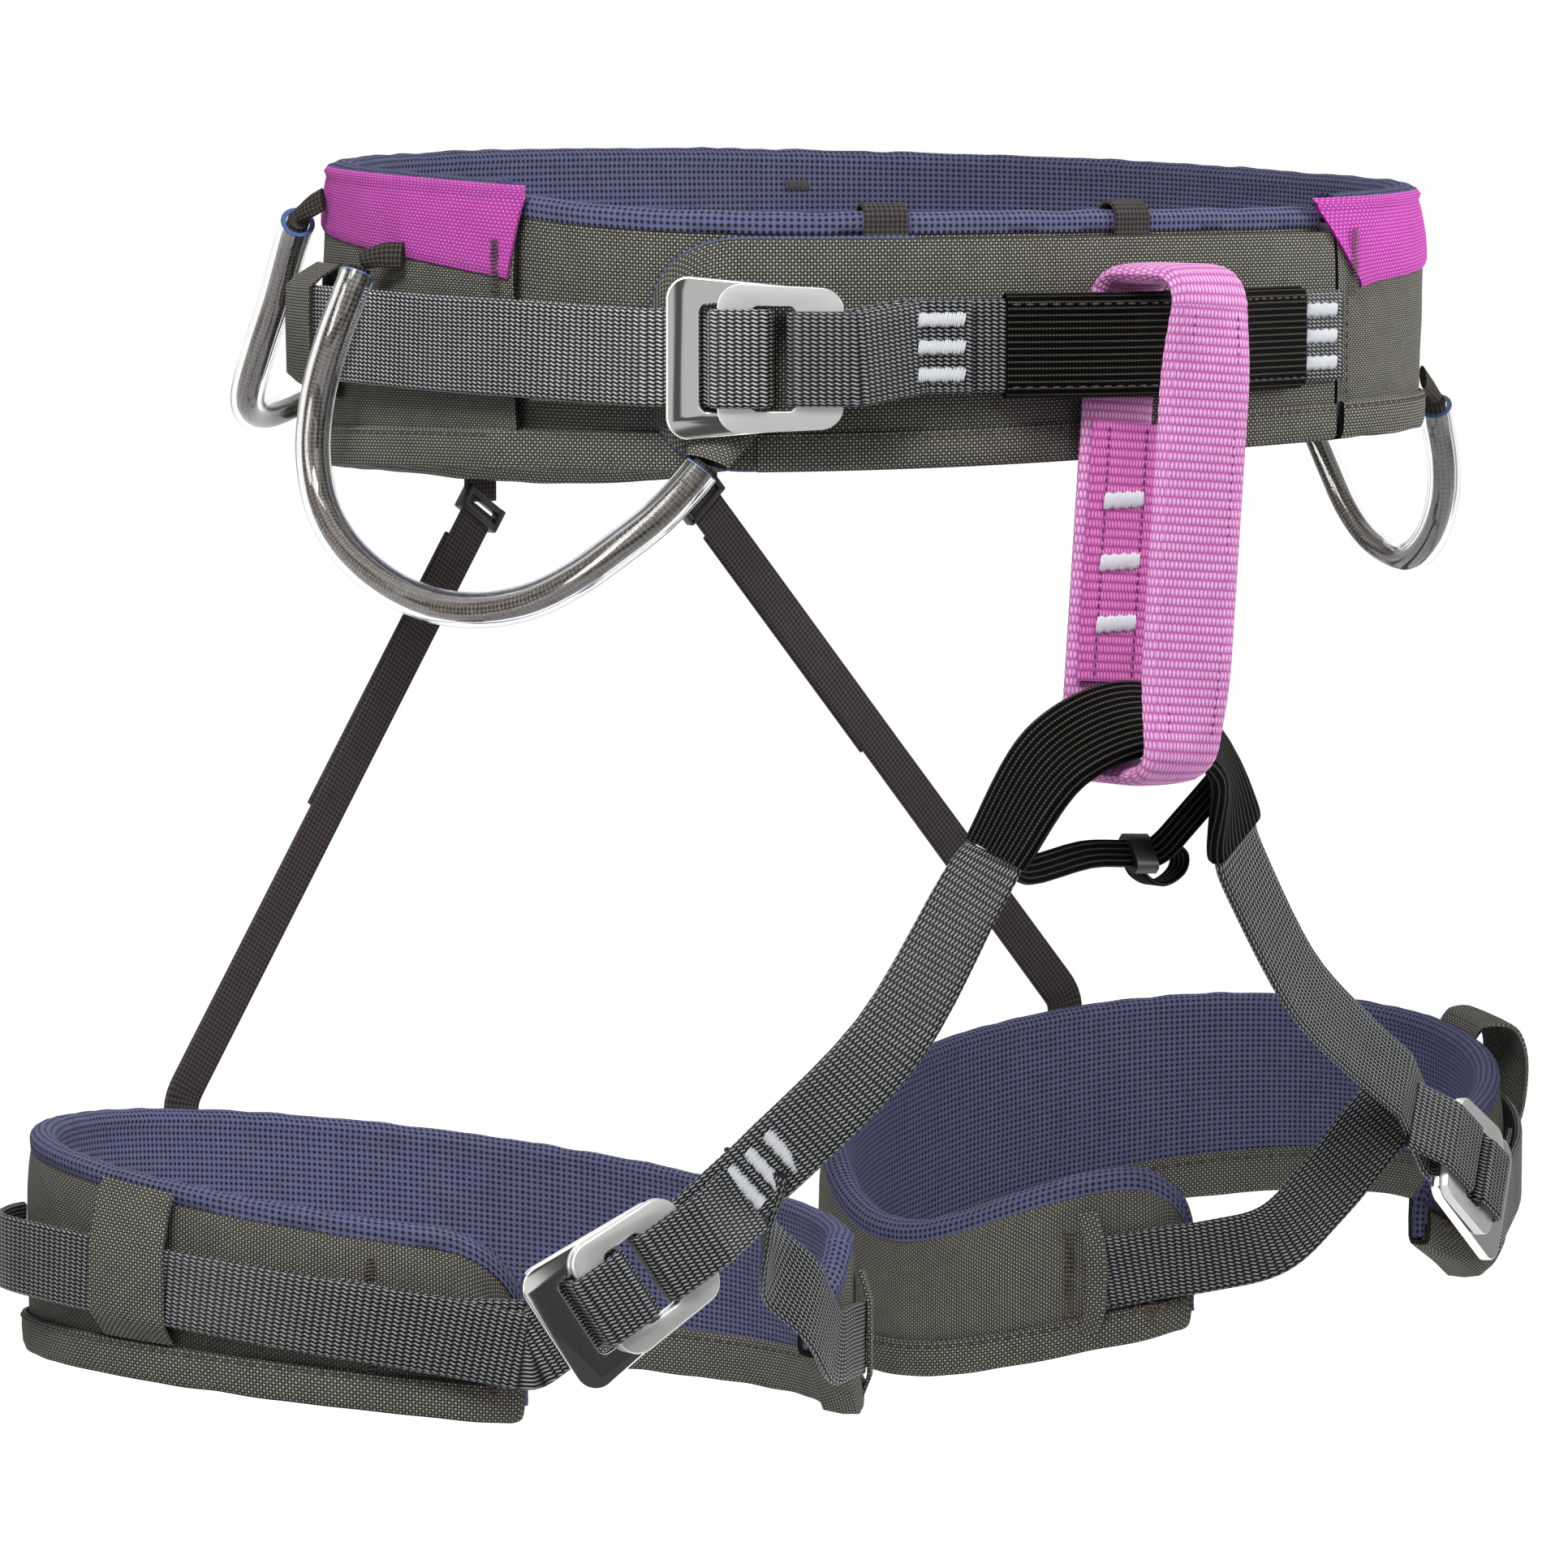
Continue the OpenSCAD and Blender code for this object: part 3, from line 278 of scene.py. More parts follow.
@dataclass(frozen=True)
class Finish:
    """A cloth, metal or plastic of the harness.

    Attributes:
        name: its material's name.
        light: colour of the thread's crown, 0 to 255; partly the thread's own colour, partly a painted
            highlight on the crown.
        dark: colour between the threads; partly the cloth's own colour, partly painted shade in the gaps.
        pattern: how its threads run.
        pitch: distance between threads in mm.
        rib: distance between ribs in mm, where it has ribs.
        depth: height of the threads in mm.
        rough: roughness of its surface.
        metal: 1 for bare metal.
        clear: 1 for clear plastic.
    """

    TUBE_IOR: ClassVar[float] = 1.47
    FUZZ_SCALE: ClassVar[float] = 140.0
    BUMP: ClassVar[float] = 0.7

    name: str
    light: tuple[int, int, int]
    dark: tuple[int, int, int] = (0, 0, 0)
    pattern: Pattern = Pattern.PLAIN
    pitch: float = 1.0
    rib: float = 2.0
    depth: float = 0.2
    rough: float = 0.85
    metal: float = 0.0
    clear: float = 0.0

    def material(self) -> bpy.types.Material:
        """The finish's material, made once."""
        if self.name in MADE:
            return MADE[self.name]
        made = MADE[self.name] = bpy.data.materials.new(self.name)
        t = Tree(made)
        values = {"Roughness": self.rough, "Metallic": self.metal, "Transmission Weight": self.clear,
                  "Base Color": linear(self.light)}
        if self.clear:
            values["IOR"] = self.TUBE_IOR
        if self.pattern is not Pattern.PLAIN:
            values["Specular IOR Level"] = 0.04 if self.pattern is Pattern.SLEEVE else 0.12
            self.weave(t)
        for key, value in values.items():
            t.shader.inputs[key].default_value = value
        return made

    def weave(self, t: Tree) -> None:
        """Threads in colour and height; the colour follows the height, as a painted highlight on the crowns
        and painted shade between the threads.

        Args:
            t: the material's tree.
        """
        uv = t.add("ShaderNodeUVMap")
        split = t.add("ShaderNodeSeparateXYZ")
        t.link(uv.outputs[0], split.inputs[0])
        across, along = split.outputs[0], split.outputs[1]
        height = self.threads(t, across, along)
        fuzz = t.add("ShaderNodeTexNoise")
        fuzz.inputs["Scale"].default_value = self.FUZZ_SCALE
        fuzz.inputs["Detail"].default_value = 3.0
        t.link(uv.outputs[0], fuzz.inputs["Vector"])
        uneven = t.math("MULTIPLY_ADD", fuzz.outputs[0], 0.5, 0.75)
        share = t.math("MULTIPLY", height, uneven)
        # Colour from the threads' height: painted shade between the threads, painted highlight on their
        # crowns.
        highlight_and_shade = t.add("ShaderNodeMix")
        highlight_and_shade.data_type = "RGBA"
        highlight_and_shade.inputs[6].default_value = linear(self.dark)
        highlight_and_shade.inputs[7].default_value = linear(self.light)
        t.link(share, highlight_and_shade.inputs[0])
        t.link(highlight_and_shade.outputs[2], t.shader.inputs["Base Color"])
        bump = t.add("ShaderNodeBump")
        bump.inputs["Strength"].default_value = self.BUMP
        bump.inputs["Distance"].default_value = self.depth * MM
        t.link(height, bump.inputs["Height"])
        t.link(bump.outputs[0], t.shader.inputs["Normal"])

    def threads(self, t: Tree, across, along) -> bpy.types.NodeSocket:
        """Height of the threads, 0 to 1.

        Args:
            t: the material's tree.
            across: distance across the cloth in metres.
            along: distance along the cloth in metres.

        Returns:
            The socket that gives the height.
        """
        def wave(value, pitch: float):
            turn = t.math("MULTIPLY", value, math.pi / (pitch * MM))
            return t.math("ABSOLUTE", t.math("SINE", turn))

        if self.pattern is Pattern.WEAVE:
            dot = t.math("MULTIPLY", wave(across, self.pitch), wave(along, self.pitch))
            cell = [t.math("FLOOR", t.math("DIVIDE", x, self.pitch * MM)) for x in (across, along)]
            odd = t.math("PINGPONG", t.math("ADD", *cell), 1.0)
            return t.math("MULTIPLY", t.math("POWER", dot, 1.2),
                          t.math("MULTIPLY_ADD", odd, 0.8, 0.38))
        if self.pattern in (Pattern.MESH, Pattern.ELASTIC, Pattern.BRAID):
            lean = [t.math("MULTIPLY", x, math.pi / (self.pitch * MM)) for x in (
                t.math("ADD", across, along), t.math("SUBTRACT", across, along))]
            cross = t.math("MULTIPLY", *[t.math("SINE", x) for x in lean])
            if self.pattern is Pattern.MESH:
                hole = t.math("POWER", t.math("MAXIMUM", cross, 0.0), 0.7)
                return t.math("SUBTRACT", 1.0, hole)
            return t.math("MULTIPLY_ADD", cross, 0.5, 0.5)
        if self.pattern is Pattern.SLEEVE:
            thin = t.math("POWER", wave(across, self.pitch), 14.0)
            return t.math("MULTIPLY", thin, wave(along, self.rib))
        sway = t.math("SINE", t.math("MULTIPLY", along, 2 * math.pi / (self.rib * MM)))
        line = wave(t.math("MULTIPLY_ADD", sway, 0.16 * self.pitch * MM, across), self.pitch)
        band = t.math("POWER", wave(along, self.rib), 0.6)
        if self.pattern is Pattern.TAPE:
            row = t.math("PINGPONG", t.math("FLOOR", t.math("DIVIDE", along, self.rib * MM)), 1.0)
            float_end = wave(t.math("MULTIPLY_ADD", row, self.pitch * MM / 2, across), self.pitch)
            rise = t.math("MULTIPLY", *[t.math("MULTIPLY_ADD", x, 0.6, 0.4) for x in (float_end, band)])
            # Squared so that the near-white light colour shows only at the rib tops, as painted glints.
            return t.math("POWER", rise, 2.0)
        # Webbing: only sparse dashes reach the near-white light colour, as painted glints of the glossy
        # threads.
        dash = t.math("POWER", line, 5.2)
        gaps = t.math("MULTIPLY_ADD", t.math("POWER", band, 2.2), 0.95, 0.05)
        return t.math("MULTIPLY", dash, gaps)


GREY = Finish("grey_cloth", (200, 198, 184), (12, 12, 11), Pattern.WEAVE, pitch=0.8, depth=0.3)
MESH = Finish("mesh_lining", (106, 109, 144), (6, 7, 14), Pattern.MESH, pitch=1.7, depth=0.6, rough=0.9)
# A darker copy of the mesh for the waist lining: painted shade for the belt's shaded inside.
MESH_WAIST_SHADED = replace(MESH, name="mesh_waist_painted_shade", light=(92, 95, 126), dark=(6, 7, 13))
MAGENTA = Finish("magenta_cloth", (255, 154, 243), (180, 39, 157), Pattern.WEAVE, pitch=0.8)
# The tape's near-white light colour is a painted glint on the rib tops.
TAPE = Finish("ribbed_tape", (255, 204, 249), (184, 44, 158), Pattern.TAPE, pitch=1.1, rib=2.3, rough=0.5)
TAPE_INNER = replace(TAPE, name="inner_tape", light=(252, 150, 224), dark=(150, 30, 124), rough=0.6)
# The webbing's near-white light colour is a painted glint of the glossy nylon and its near-black dark is
# painted shade between the threads; RISER_WEB keeps both with a greyer light colour.
WEBBING = Finish("flat_webbing", (250, 251, 253), (8, 8, 9), Pattern.WEBBING, pitch=1.05, rough=0.5)
RISER_WEB = replace(WEBBING, name="riser_webbing", light=(204, 205, 207))
SLEEVE = Finish("black_sleeve", (104, 100, 90), (3, 3, 4), Pattern.SLEEVE, pitch=1.7, rib=0.9, rough=0.8)
ELASTIC = Finish("dark_elastic", (92, 86, 84), (30, 27, 27), Pattern.ELASTIC, pitch=1.3)
BRAID = Finish("braided_cord", (88, 82, 75), (4, 4, 4), Pattern.BRAID, pitch=1.3, depth=0.4)
BLACK = Finish("black_moulding", (16, 16, 17), rough=0.45)
METAL = Finish("polished_alloy", (222, 221, 219), rough=0.08, metal=1.0)
SATIN = Finish("satin_alloy", (206, 206, 205), rough=0.3, metal=0.5)
CLEAR = Finish("gear_tubing", (250, 251, 252), rough=0.03, clear=1.0)
CUT_RIM = Finish("tubing_rim", (84, 118, 172), rough=0.3)
WHITE_THREAD = Finish("tack_thread", (226, 229, 234), rough=0.7)
GREY_THREAD = Finish("seam_thread", (74, 68, 62), rough=0.8)
BROWN_THREAD = Finish("tack_brown", (96, 78, 66), rough=0.8)
PLUM_THREAD = Finish("plum_thread", (112, 30, 100), rough=0.8)
FOAM = Finish("pad_foam", (96, 96, 100), rough=0.95)


def piece(obj: bpy.types.Object, body: str, slot: str, *nodes: str) -> bpy.types.Object:
    """Hands a finished piece to its body.

    Args:
        obj: the piece.
        body: the body that it rides on.
        slot: its material slot in the record; not used.
        nodes: the solids that it stands for.

    Returns:
        The piece.
    """
    if obj.get("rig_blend") is None:
        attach(obj, body)
    if nodes:
        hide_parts(*nodes)
    LOG.info("%s on %s, %d faces", obj.name, body, len(obj.data.polygons))
    return obj


def rounded(bm: bmesh.types.BMesh, edges: Sequence[bmesh.types.BMEdge], width: float, segments: int) -> None:
    """Rounds edges of a shape.

    Args:
        bm: the shape.
        edges: the edges to round.
        width: width of the rounding in mm.
        segments: number of faces across it.
    """
    bmesh.ops.bevel(bm, geom=edges, offset=width * MM, offset_type="OFFSET", affect="EDGES",
                    segments=segments, profile=0.5, material=-1, clamp_overlap=True)


def finish_mesh(name: str, bm: bmesh.types.BMesh, finish: Finish, sharp: float = 50.0) -> bpy.types.Object:
    """Makes an object of a bmesh.

    Args:
        name: the piece's name.
        bm: its shape, which is freed.
        finish: its finish.
        sharp: angle in degrees past which an edge stays crisp.

    Returns:
        The object, at the origin.
    """
    bmesh.ops.recalc_face_normals(bm, faces=bm.faces)
    for f in bm.faces:
        f.smooth = True
    for e in bm.edges:
        if len(e.link_faces) == 2 and e.calc_face_angle(0) > math.radians(sharp):
            e.smooth = False
    data = bpy.data.meshes.new(name)
    bm.to_mesh(data)
    bm.free()
    data.materials.append(finish.material())
    obj = bpy.data.objects.new("look_" + name, data)
    bpy.context.scene.collection.objects.link(obj)
    return obj


def skin(name: str, rings: Sequence[Ring], finish: Finish, ring: bool = False,
         sharp: float = 50.0) -> bpy.types.Object:
    """Surface through closed rings of points, made from a grid whose rows are laid on them.

    Args:
        name: the piece's name.
        rings: the rings, each with the same number of points.
        finish: its finish.
        ring: whether the last ring joins the first.
        sharp: angle in degrees past which an edge stays crisp.

    Returns:
        The piece, with a UV map in metres.
    """
    rows = list(rings) + ([rings[0]] if ring else [])
    lines = [[*r, r[0]] for r in rows]
    cols, n = len(lines[0]) - 1, len(lines) - 1
    side = lengths(lines[n // 2])
    run = lengths([sum(r, Vector()) / len(r) for r in rows])
    bm = bmesh.new()
    bmesh.ops.create_grid(bm, x_segments=cols, y_segments=n, size=1.0)
    bm.verts.ensure_lookup_table()
    layer = bm.loops.layers.uv.new("UVMap")
    for face in bm.faces:
        for loop in face.loops:
            row, col = divmod(loop.vert.index, cols + 1)
            loop[layer].uv = (side[col], run[row])
    for v in bm.verts:
        row, col = divmod(v.index, cols + 1)
        v.co = lines[row][col]
    bmesh.ops.remove_doubles(bm, verts=bm.verts, dist=MERGE)
    edges = [e for e in bm.edges if e.is_boundary]
    if edges:
        bmesh.ops.holes_fill(bm, edges=edges, sides=0)
    return finish_mesh(name, bm, finish, sharp)


def strap_section(w: float, t: float, flats: int = 8) -> list[tuple[float, float]]:
    """Rounded section of a strap: places across it and out of it, in mm."""
    r = t / 2
    top = [(mix(r - w / 2, w / 2 - r, i / flats), r) for i in range(flats + 1)]
    bend = [(w / 2 - r + r * math.sin(a), r * math.cos(a)) for a in (0.7, math.pi / 2, math.pi - 0.7)]
    half = top + bend
    return half + [(-x, -y) for x, y in half]


def sweep(name: str, points: Sequence[Vector], across: Sequence[Vector], section: Section,
          finish: Finish, ring: bool = False, rib: float = 0.0, rib_depth: float = 0.0) -> bpy.types.Object:
    """A section carried along a path.

    Args:
        name: the piece's name.
        points: the path in metres.
        across: the direction of the section's width at each point.
        section: places across and out, in mm.
        finish: its finish.
        ring: whether the path closes.
        rib: distance between ribs across the strap in mm.
        rib_depth: depth of the ribs in mm.

    Returns:
        The piece.
    """
    n = len(points)
    if ring:
        heads = [(points[(i + 1) % n] - points[i - 1]).normalized() for i in range(n)]
    else:
        heads = tangents(points)
    rings, run = [], 0.0
    for i, (p, d, a) in enumerate(zip(points, heads, across)):
        run += (p - points[i - 1]).length / MM if i else 0.0
        wide = squared(a, d)
        out = wide.cross(d)
        low = rib_depth * (1 - abs(math.sin(math.pi * run / rib)) ** 0.7) if rib else 0.0
        sunk = [(x, y - math.copysign(min(low, abs(y)), y)) for x, y in section]
        rings.append([p + (wide * x + out * y) * MM for x, y in sunk])
    return skin(name, rings, finish, ring=ring)


def strap(name: str, points: Sequence[Vector], across: Vector | Sequence[Vector], w: float, t: float,
          finish: Finish, step: float = 0.7, rounds: int = 4) -> bpy.types.Object:
    """Webbing along a path. Woven webbing and tape have ribs across them.

    Args:
        name: the piece's name.
        points: the path in metres.
        across: the direction of its width, or one for each point.
        w: its width in mm.
        t: its thickness in mm.
        finish: its finish.
        step: distance between two sections in mm.
        rounds: how often the path's corners are smoothed.

    Returns:
        The piece.
    """
    if isinstance(across, Vector):
        across = [across] * len(points)
    path, wide = resample(points, across, step * MM, rounds)
    depth = 0.12 if finish.pattern in (Pattern.WEBBING, Pattern.TAPE) else 0.0
    return sweep(name, path, wide, strap_section(w, t), finish, rib=finish.rib, rib_depth=depth)


def beads(name: str, marks: Marks, finish: Finish) -> bpy.types.Object:
    """Short lengths of thread.

    Args:
        name: the piece's name.
        marks: the middle, direction, length and radius of each, in metres.
        finish: its finish.

    Returns:
        One piece with all of them.
    """
    bm = bmesh.new()
    for middle, way, length, r in marks:
        place = Matrix.Translation(middle) @ way.to_track_quat("X", "Z").to_matrix().to_4x4()
        size = Matrix.Diagonal((length / 2, r, r, 1))
        bmesh.ops.create_icosphere(bm, subdivisions=1, radius=1.0, matrix=place @ size)
    return finish_mesh(name, bm, finish, 180.0)


def stitched(points: Sequence[Vector], length: float = 2.4, gap: float = 1.2) -> Marks:
    """Marks of a run of stitches along a path, sizes in mm."""
    r = 0.3
    path, _ = resample(points, points, (length + gap) * MM)
    return [((a + b) / 2, (b - a).normalized(), length * MM, r * MM)
            for a, b in zip(path, path[1:])]


def tacked(middle: Vector, along: Vector, across: Vector, w: float, h: float, pitch: float = 0.55,
           r: float = 0.38) -> Marks:
    """Marks of a bar tack: close zigzag threads.

    Args:
        middle: the middle of the bar.
        along: the direction that the threads follow each other in.
        across: the direction of the threads.
        w: length of the bar in mm.
        h: length of a thread in mm.
        pitch: distance between two threads in mm.
        r: radius of a thread in mm.

    Returns:
        The marks of its threads.
    """
    n = max(2, round(w / pitch))
    marks = []
    for i in range(n + 1):
        lean = along * (0.16 + 0.05 * math.sin(3.1 * i))
        uneven = 1 + 0.10 * math.sin(7.3 * i)
        place = middle + along * (i / n - 0.5) * w * MM
        marks.append((place, (across + lean).normalized(), h * uneven * MM, r * MM))
    return marks


class LoopSurface:
    """What the surfaces of the belt and of the leg loops share."""

    shell_out: float
    draw_in: float

    def xy(self, t: float) -> Vector:
        """Place on the opening's edge at an angle, in mm."""
        raise NotImplementedError

    def at(self, t: float, off: float, z: float) -> Vector:
        """Point at an angle, offset and height, in metres."""
        raise NotImplementedError

    def along(self, t: float) -> Vector:
        """Direction round the loop."""
        return (self.xy(t + 0.5) - self.xy(t - 0.5)).normalized()

    def out(self, t: float) -> Vector:
        """Direction out of the loop."""
        d = self.along(t)
        return Vector((d.y, -d.x, 0))

    def route(self, keys: Sequence[Vector], k: int) -> list[Vector]:
        """Smooth path through keys of angle, offset and height, with k parts between two."""
        return [self.at(q.x, q.y, q.z) for q in curve(keys, k)]

    def face(self, v: float) -> float:
        """Offset of the shell's outside at a share of the height."""
        return self.shell_out - self.draw_in * (1 - crown(v))


@dataclass(frozen=True)
class BeltSurface(LoopSurface):
    """The waist belt's surface: angle round it, offset out of it and height."""

    half_w: float = 139.0
    half_d: float = 113.0
    square: float = 2.8
    reach: float = 128.0
    top_front: float = 31.0
    top_back: float = 43.0
    bottom_front: float = -36.5
    bottom_back: float = -50.0
    shell_out: float = 9.4
    draw_in: float = 2.4

    def xy(self, phi: float) -> Vector:
        """Place on the opening's edge at an angle, in mm."""
        s, c = math.sin(math.radians(phi)), math.cos(math.radians(phi))
        power = self.square
        reach = (abs(s) / self.half_w) ** power + (abs(c) / self.half_d) ** power
        r = reach ** (-1 / power)
        return Vector((r * s, -r * c, 0))

    def at(self, phi: float, off: float, z: float) -> Vector:
        """Point at an angle, offset and height, in metres."""
        return (self.xy(phi) + off * self.out(phi) + z * UP) * MM

    def back(self, phi: float) -> float:
        """0 at the front, 1 at the back."""
        return (1 - math.cos(math.radians(phi))) / 2

    def top(self, phi: float) -> float:
        """Height of the top edge."""
        return mix(self.top_front, self.top_back, self.back(phi))

    def bottom(self, phi: float) -> float:
        """Height of the bottom edge."""
        return mix(self.bottom_front, self.bottom_back, self.back(phi) ** 5) + self.trim(phi)

    def trim(self, phi: float) -> float:
        """How much higher the sewn edge sits than the solid's, most at the left front."""
        return (4 + 3 * math.sin(math.radians(phi))) * (1 - self.back(phi) ** 2)

@dataclass(frozen=True)
class LegSurface(LoopSurface):
    """A leg loop's surface: 0 faces the other leg, 90 the back, 180 the outer thigh, 270 the front.

    Directions and places are the right leg's until side() takes them to the other leg.
    """

    left: bool = False
    half_w: float = 106.0
    half_d: float = 85.0
    reach: float = 96.0
    turn: float = -15.0
    x: float = 131.0
    y: float = 24.0
    z: float = -258.0
    rise: float = 0.14
    back_rise: float = 0.03
    top_front: float = 22.0
    top_back: float = 33.0
    bottom_front: float = 24.0
    bottom_back: float = 30.0
    inner_lift: float = 5.0
    shell_out: float = 8.2
    draw_in: float = 2.0
    end_lift: float = 10.0
    inner_dip: float = 12.0

    def side(self, p: Vector) -> Vector:
        """The point on this leg's side of the body."""
        return Vector((-p.x, p.y, p.z)) if self.left else p

    def xy(self, t: float) -> Vector:
        """Place on the opening's edge before it is set in place, in mm."""
        c, s, a = math.cos(math.radians(t)), math.sin(math.radians(t)), math.radians(self.turn)
        x, y = self.half_w * c, self.half_d * s
        return Vector((x * math.cos(a) - y * math.sin(a), x * math.sin(a) + y * math.cos(a), 0))

    def right_at(self, t: float, off: float, z: float) -> Vector:
        """Point of the right leg, in mm."""
        p = self.xy(t) + off * self.out(t)
        z += self.z + self.lift(t) - self.rise * p.x + self.back_rise * p.y
        return Vector((p.x - self.x, p.y + self.y, z))

    def lift(self, t: float) -> float:
        """How much higher the left pad's inner end lies."""
        return self.end_lift * smooth((12 - t) / 54) if self.left else 0.0

    def at(self, t: float, off: float, z: float) -> Vector:
        """Point at an angle, offset and height, in metres."""
        return self.side(self.right_at(t, off, z)) * MM

    def back(self, t: float) -> float:
        """0 at the front, 1 at the back."""
        return (1 + math.sin(math.radians(t))) / 2

    def top(self, t: float) -> float:
        """Height of the pad's top edge, which dips on the left inner thigh."""
        dip = self.inner_dip * smooth(1 - abs(t - 18) / 44) if self.left else 0.0
        return mix(self.top_front, self.top_back, self.back(t)) - dip

    def bottom(self, t: float) -> float:
        """Height of the pad's bottom edge."""
        low = mix(self.bottom_front, self.bottom_back, self.back(t))
        return self.inner_lift * max(0.0, math.cos(math.radians(t))) - low


Surface = BeltSurface | LegSurface
BELT = BeltSurface()


def ripple(s: float, z: float, seed: float, size: float) -> float:
    """Soft unevenness of sewn cloth.

    Args:
        s: place along the cloth in mm.
        z: place across it in mm.
        seed: tells pieces apart.
        size: height of the ripple in mm.

    Returns:
        The offset in mm.
    """
    broad = noise.noise(Vector((s / 34, z / 26, seed)))
    fine = noise.noise(Vector((s / 11, z / 15, seed + 7.7)))
    return size * (0.75 * broad + 0.4 * fine)


@dataclass(frozen=True)
class PadLayers:
    """Sections of a sewn pad, from its lining to its hem, on a surface.

    Attributes:
        surface: the surface that the pad lies on.
        start, end: angles between which it runs.
        reach: rough radius, to turn an angle into a length.
        seed: tells its ripples from those of other pads.
        step: angle between two sections.
        lining_t, shell_t: thickness of the lining and of the shell, in mm.
        roll: height of the rolled upper edge, in mm.
        hem_out, hem_in: height of the hem outside and inside, in mm.
        corner_top, corner_low: radius of the corners at both ends, in mm.
        taper: length over which the ends thin out, in mm.
        point: how far the edges draw together towards the first and the last end, in mm.
    """

    surface: Surface
    start: float
    end: float
    reach: float
    seed: float
    step: float = 1.3
    lining_t: float = 1.6
    shell_t: float = 1.2
    roll: float = 2.6
    hem_out: float = 9.0
    hem_in: float = 12.0
    corner_top: float = 0.0
    corner_low: float = 0.0
    taper: float = 0.0
    point: tuple[float, float] = (0.0, 0.0)

    def run(self, t: float) -> float:
        """Length round the pad at an angle, in mm."""
        return math.radians(t) * self.reach

    def inset(self, t: float) -> float:
        """Distance from the nearer end, in mm."""
        return max(0.0, min(self.run(t - self.start), self.run(self.end - t)))

    def angles(self) -> list[float]:
        """Angles of the pad's sections, closer at rounded ends."""
        if not self.corner_top:
            return steps(self.start, self.end, self.step)
        edge = [math.degrees(d / self.reach) for d in (0, 0.4, 1.2, 2.4, 4, 6, 8.5, 11.5, 15)]
        middle = steps(self.start + edge[-1] + 1.5, self.end - edge[-1] - 1.5, self.step)
        return [self.start + d for d in edge] + middle + [self.end - d for d in reversed(edge)]

    def corner(self, t: float, r: float) -> float:
        """How far a rounded corner draws the edge in at an angle."""
        d = self.inset(t)
        return r - math.sqrt(r * r - (r - d) ** 2) if d < r else 0.0

    def pointed(self, t: float) -> float:
        """How far a pointed end draws the edge in at an angle."""
        first = max(0.0, 1 - self.run(t - self.start) / 24) * self.point[0]
        return max(first, max(0.0, 1 - self.run(self.end - t) / 24) * self.point[1])

    def top(self, t: float) -> float:
        """Height of the pad's top edge."""
        return self.surface.top(t) - max(self.corner(t, self.corner_top), self.pointed(t))

    def bottom(self, t: float) -> float:
        """Height of the pad's bottom edge."""
        return self.surface.bottom(t) + max(self.corner(t, self.corner_low), self.pointed(t))

    def face(self, t: float, v: float) -> float:
        """Offset of the pad's outside at an angle and a share of the height."""
        full = self.surface.face(v)
        if not self.taper:
            return full
        return mix(self.lining_t + self.shell_t + 1.4, full, smooth(self.inset(t) / self.taper))

    def lay(self, name: str, section: Callable[[float], Section], finish: Finish,
            angles: Sequence[float] | None = None) -> bpy.types.Object:
        """Lays a section round the pad.

        Args:
            name: the piece's name.
            section: gives offsets and heights at an angle.
            finish: its finish.
            angles: the angles to use, if not the pad's own.

        Returns:
            The piece.
        """
        at = self.surface.at
        rings = [[at(t, o, z) for o, z in section(t)] for t in angles or self.angles()]
        return skin(name, rings, finish, sharp=60.0)

    def rim(self, t: float) -> tuple[float, float]:
        """Middle of the rolled upper edge: offset and height."""
        return self.face(t, 1.0) / 2 + 0.1, self.top(t) - 1.6

    def lining_section(self, t: float) -> Section:
        """Mesh on the inside, rolled over the upper edge."""
        low, top = self.bottom(t) + 0.6, self.top(t)
        c, z = self.rim(t)
        r = c + 0.6
        lump = 0.45 * noise.noise(Vector((self.run(t) / 7, 3.1, self.seed)))
        face = [(-0.8 * crown(v) + ripple(self.run(t), v * 80, self.seed + 3, 0.6), mix(low, z, v))
                for v in steps(0.0, 0.97, 0.09)]
        over = [(c - (r + lump) * math.cos(a), z + (self.roll + lump) * math.sin(a) * 1.15)
                for a in steps(0.0, math.pi, math.pi / 9)]
        hidden = [(c + r - 0.3, top - 4.2), (c + r - 1.5, top - 4.6),
                  (self.lining_t, top - 5.2), (self.lining_t, low)]
        return face + over + hidden

    def foam_section(self, t: float) -> Section:
        """Foam core between lining and shell."""
        low, top = self.bottom(t) + 1.0, self.top(t) - 6.5
        vs = steps(0.0, 1.0, 0.12)
        outer = [(self.face(t, v) - self.shell_t - 1.0, mix(low, top, v)) for v in vs]
        return outer + [(self.lining_t + 0.2, mix(low, top, v)) for v in reversed(vs)]

    def shell_off(self, t: float, v: float) -> float:
        """Offset of the rippled shell."""
        low, top = self.bottom(t), self.top(t)
        z = mix(low, top, v)
        pucker = 0.4 * noise.noise(Vector((self.run(t) / 4.2, 1.0, self.seed)))
        pucker *= math.exp(-(z - low - self.hem_out) ** 2 / 30)
        calm = min(1.0, 4 * v, 7 * (1 - v))
        return self.face(t, v) + (ripple(self.run(t), z, self.seed, 1.0) - 0.3) * calm + pucker

    def shell_section(self, t: float) -> Section:
        """Outer cloth, tucked under the rolled edge."""
        low, top = self.bottom(t), self.top(t) - 2.8
        vs = steps(0.0, 1.0, 0.055)
        outer = [(self.shell_off(t, v), mix(low, top, v)) for v in vs]
        return outer + [(self.shell_off(t, v) - self.shell_t, mix(low, top, v)) for v in reversed(vs)]

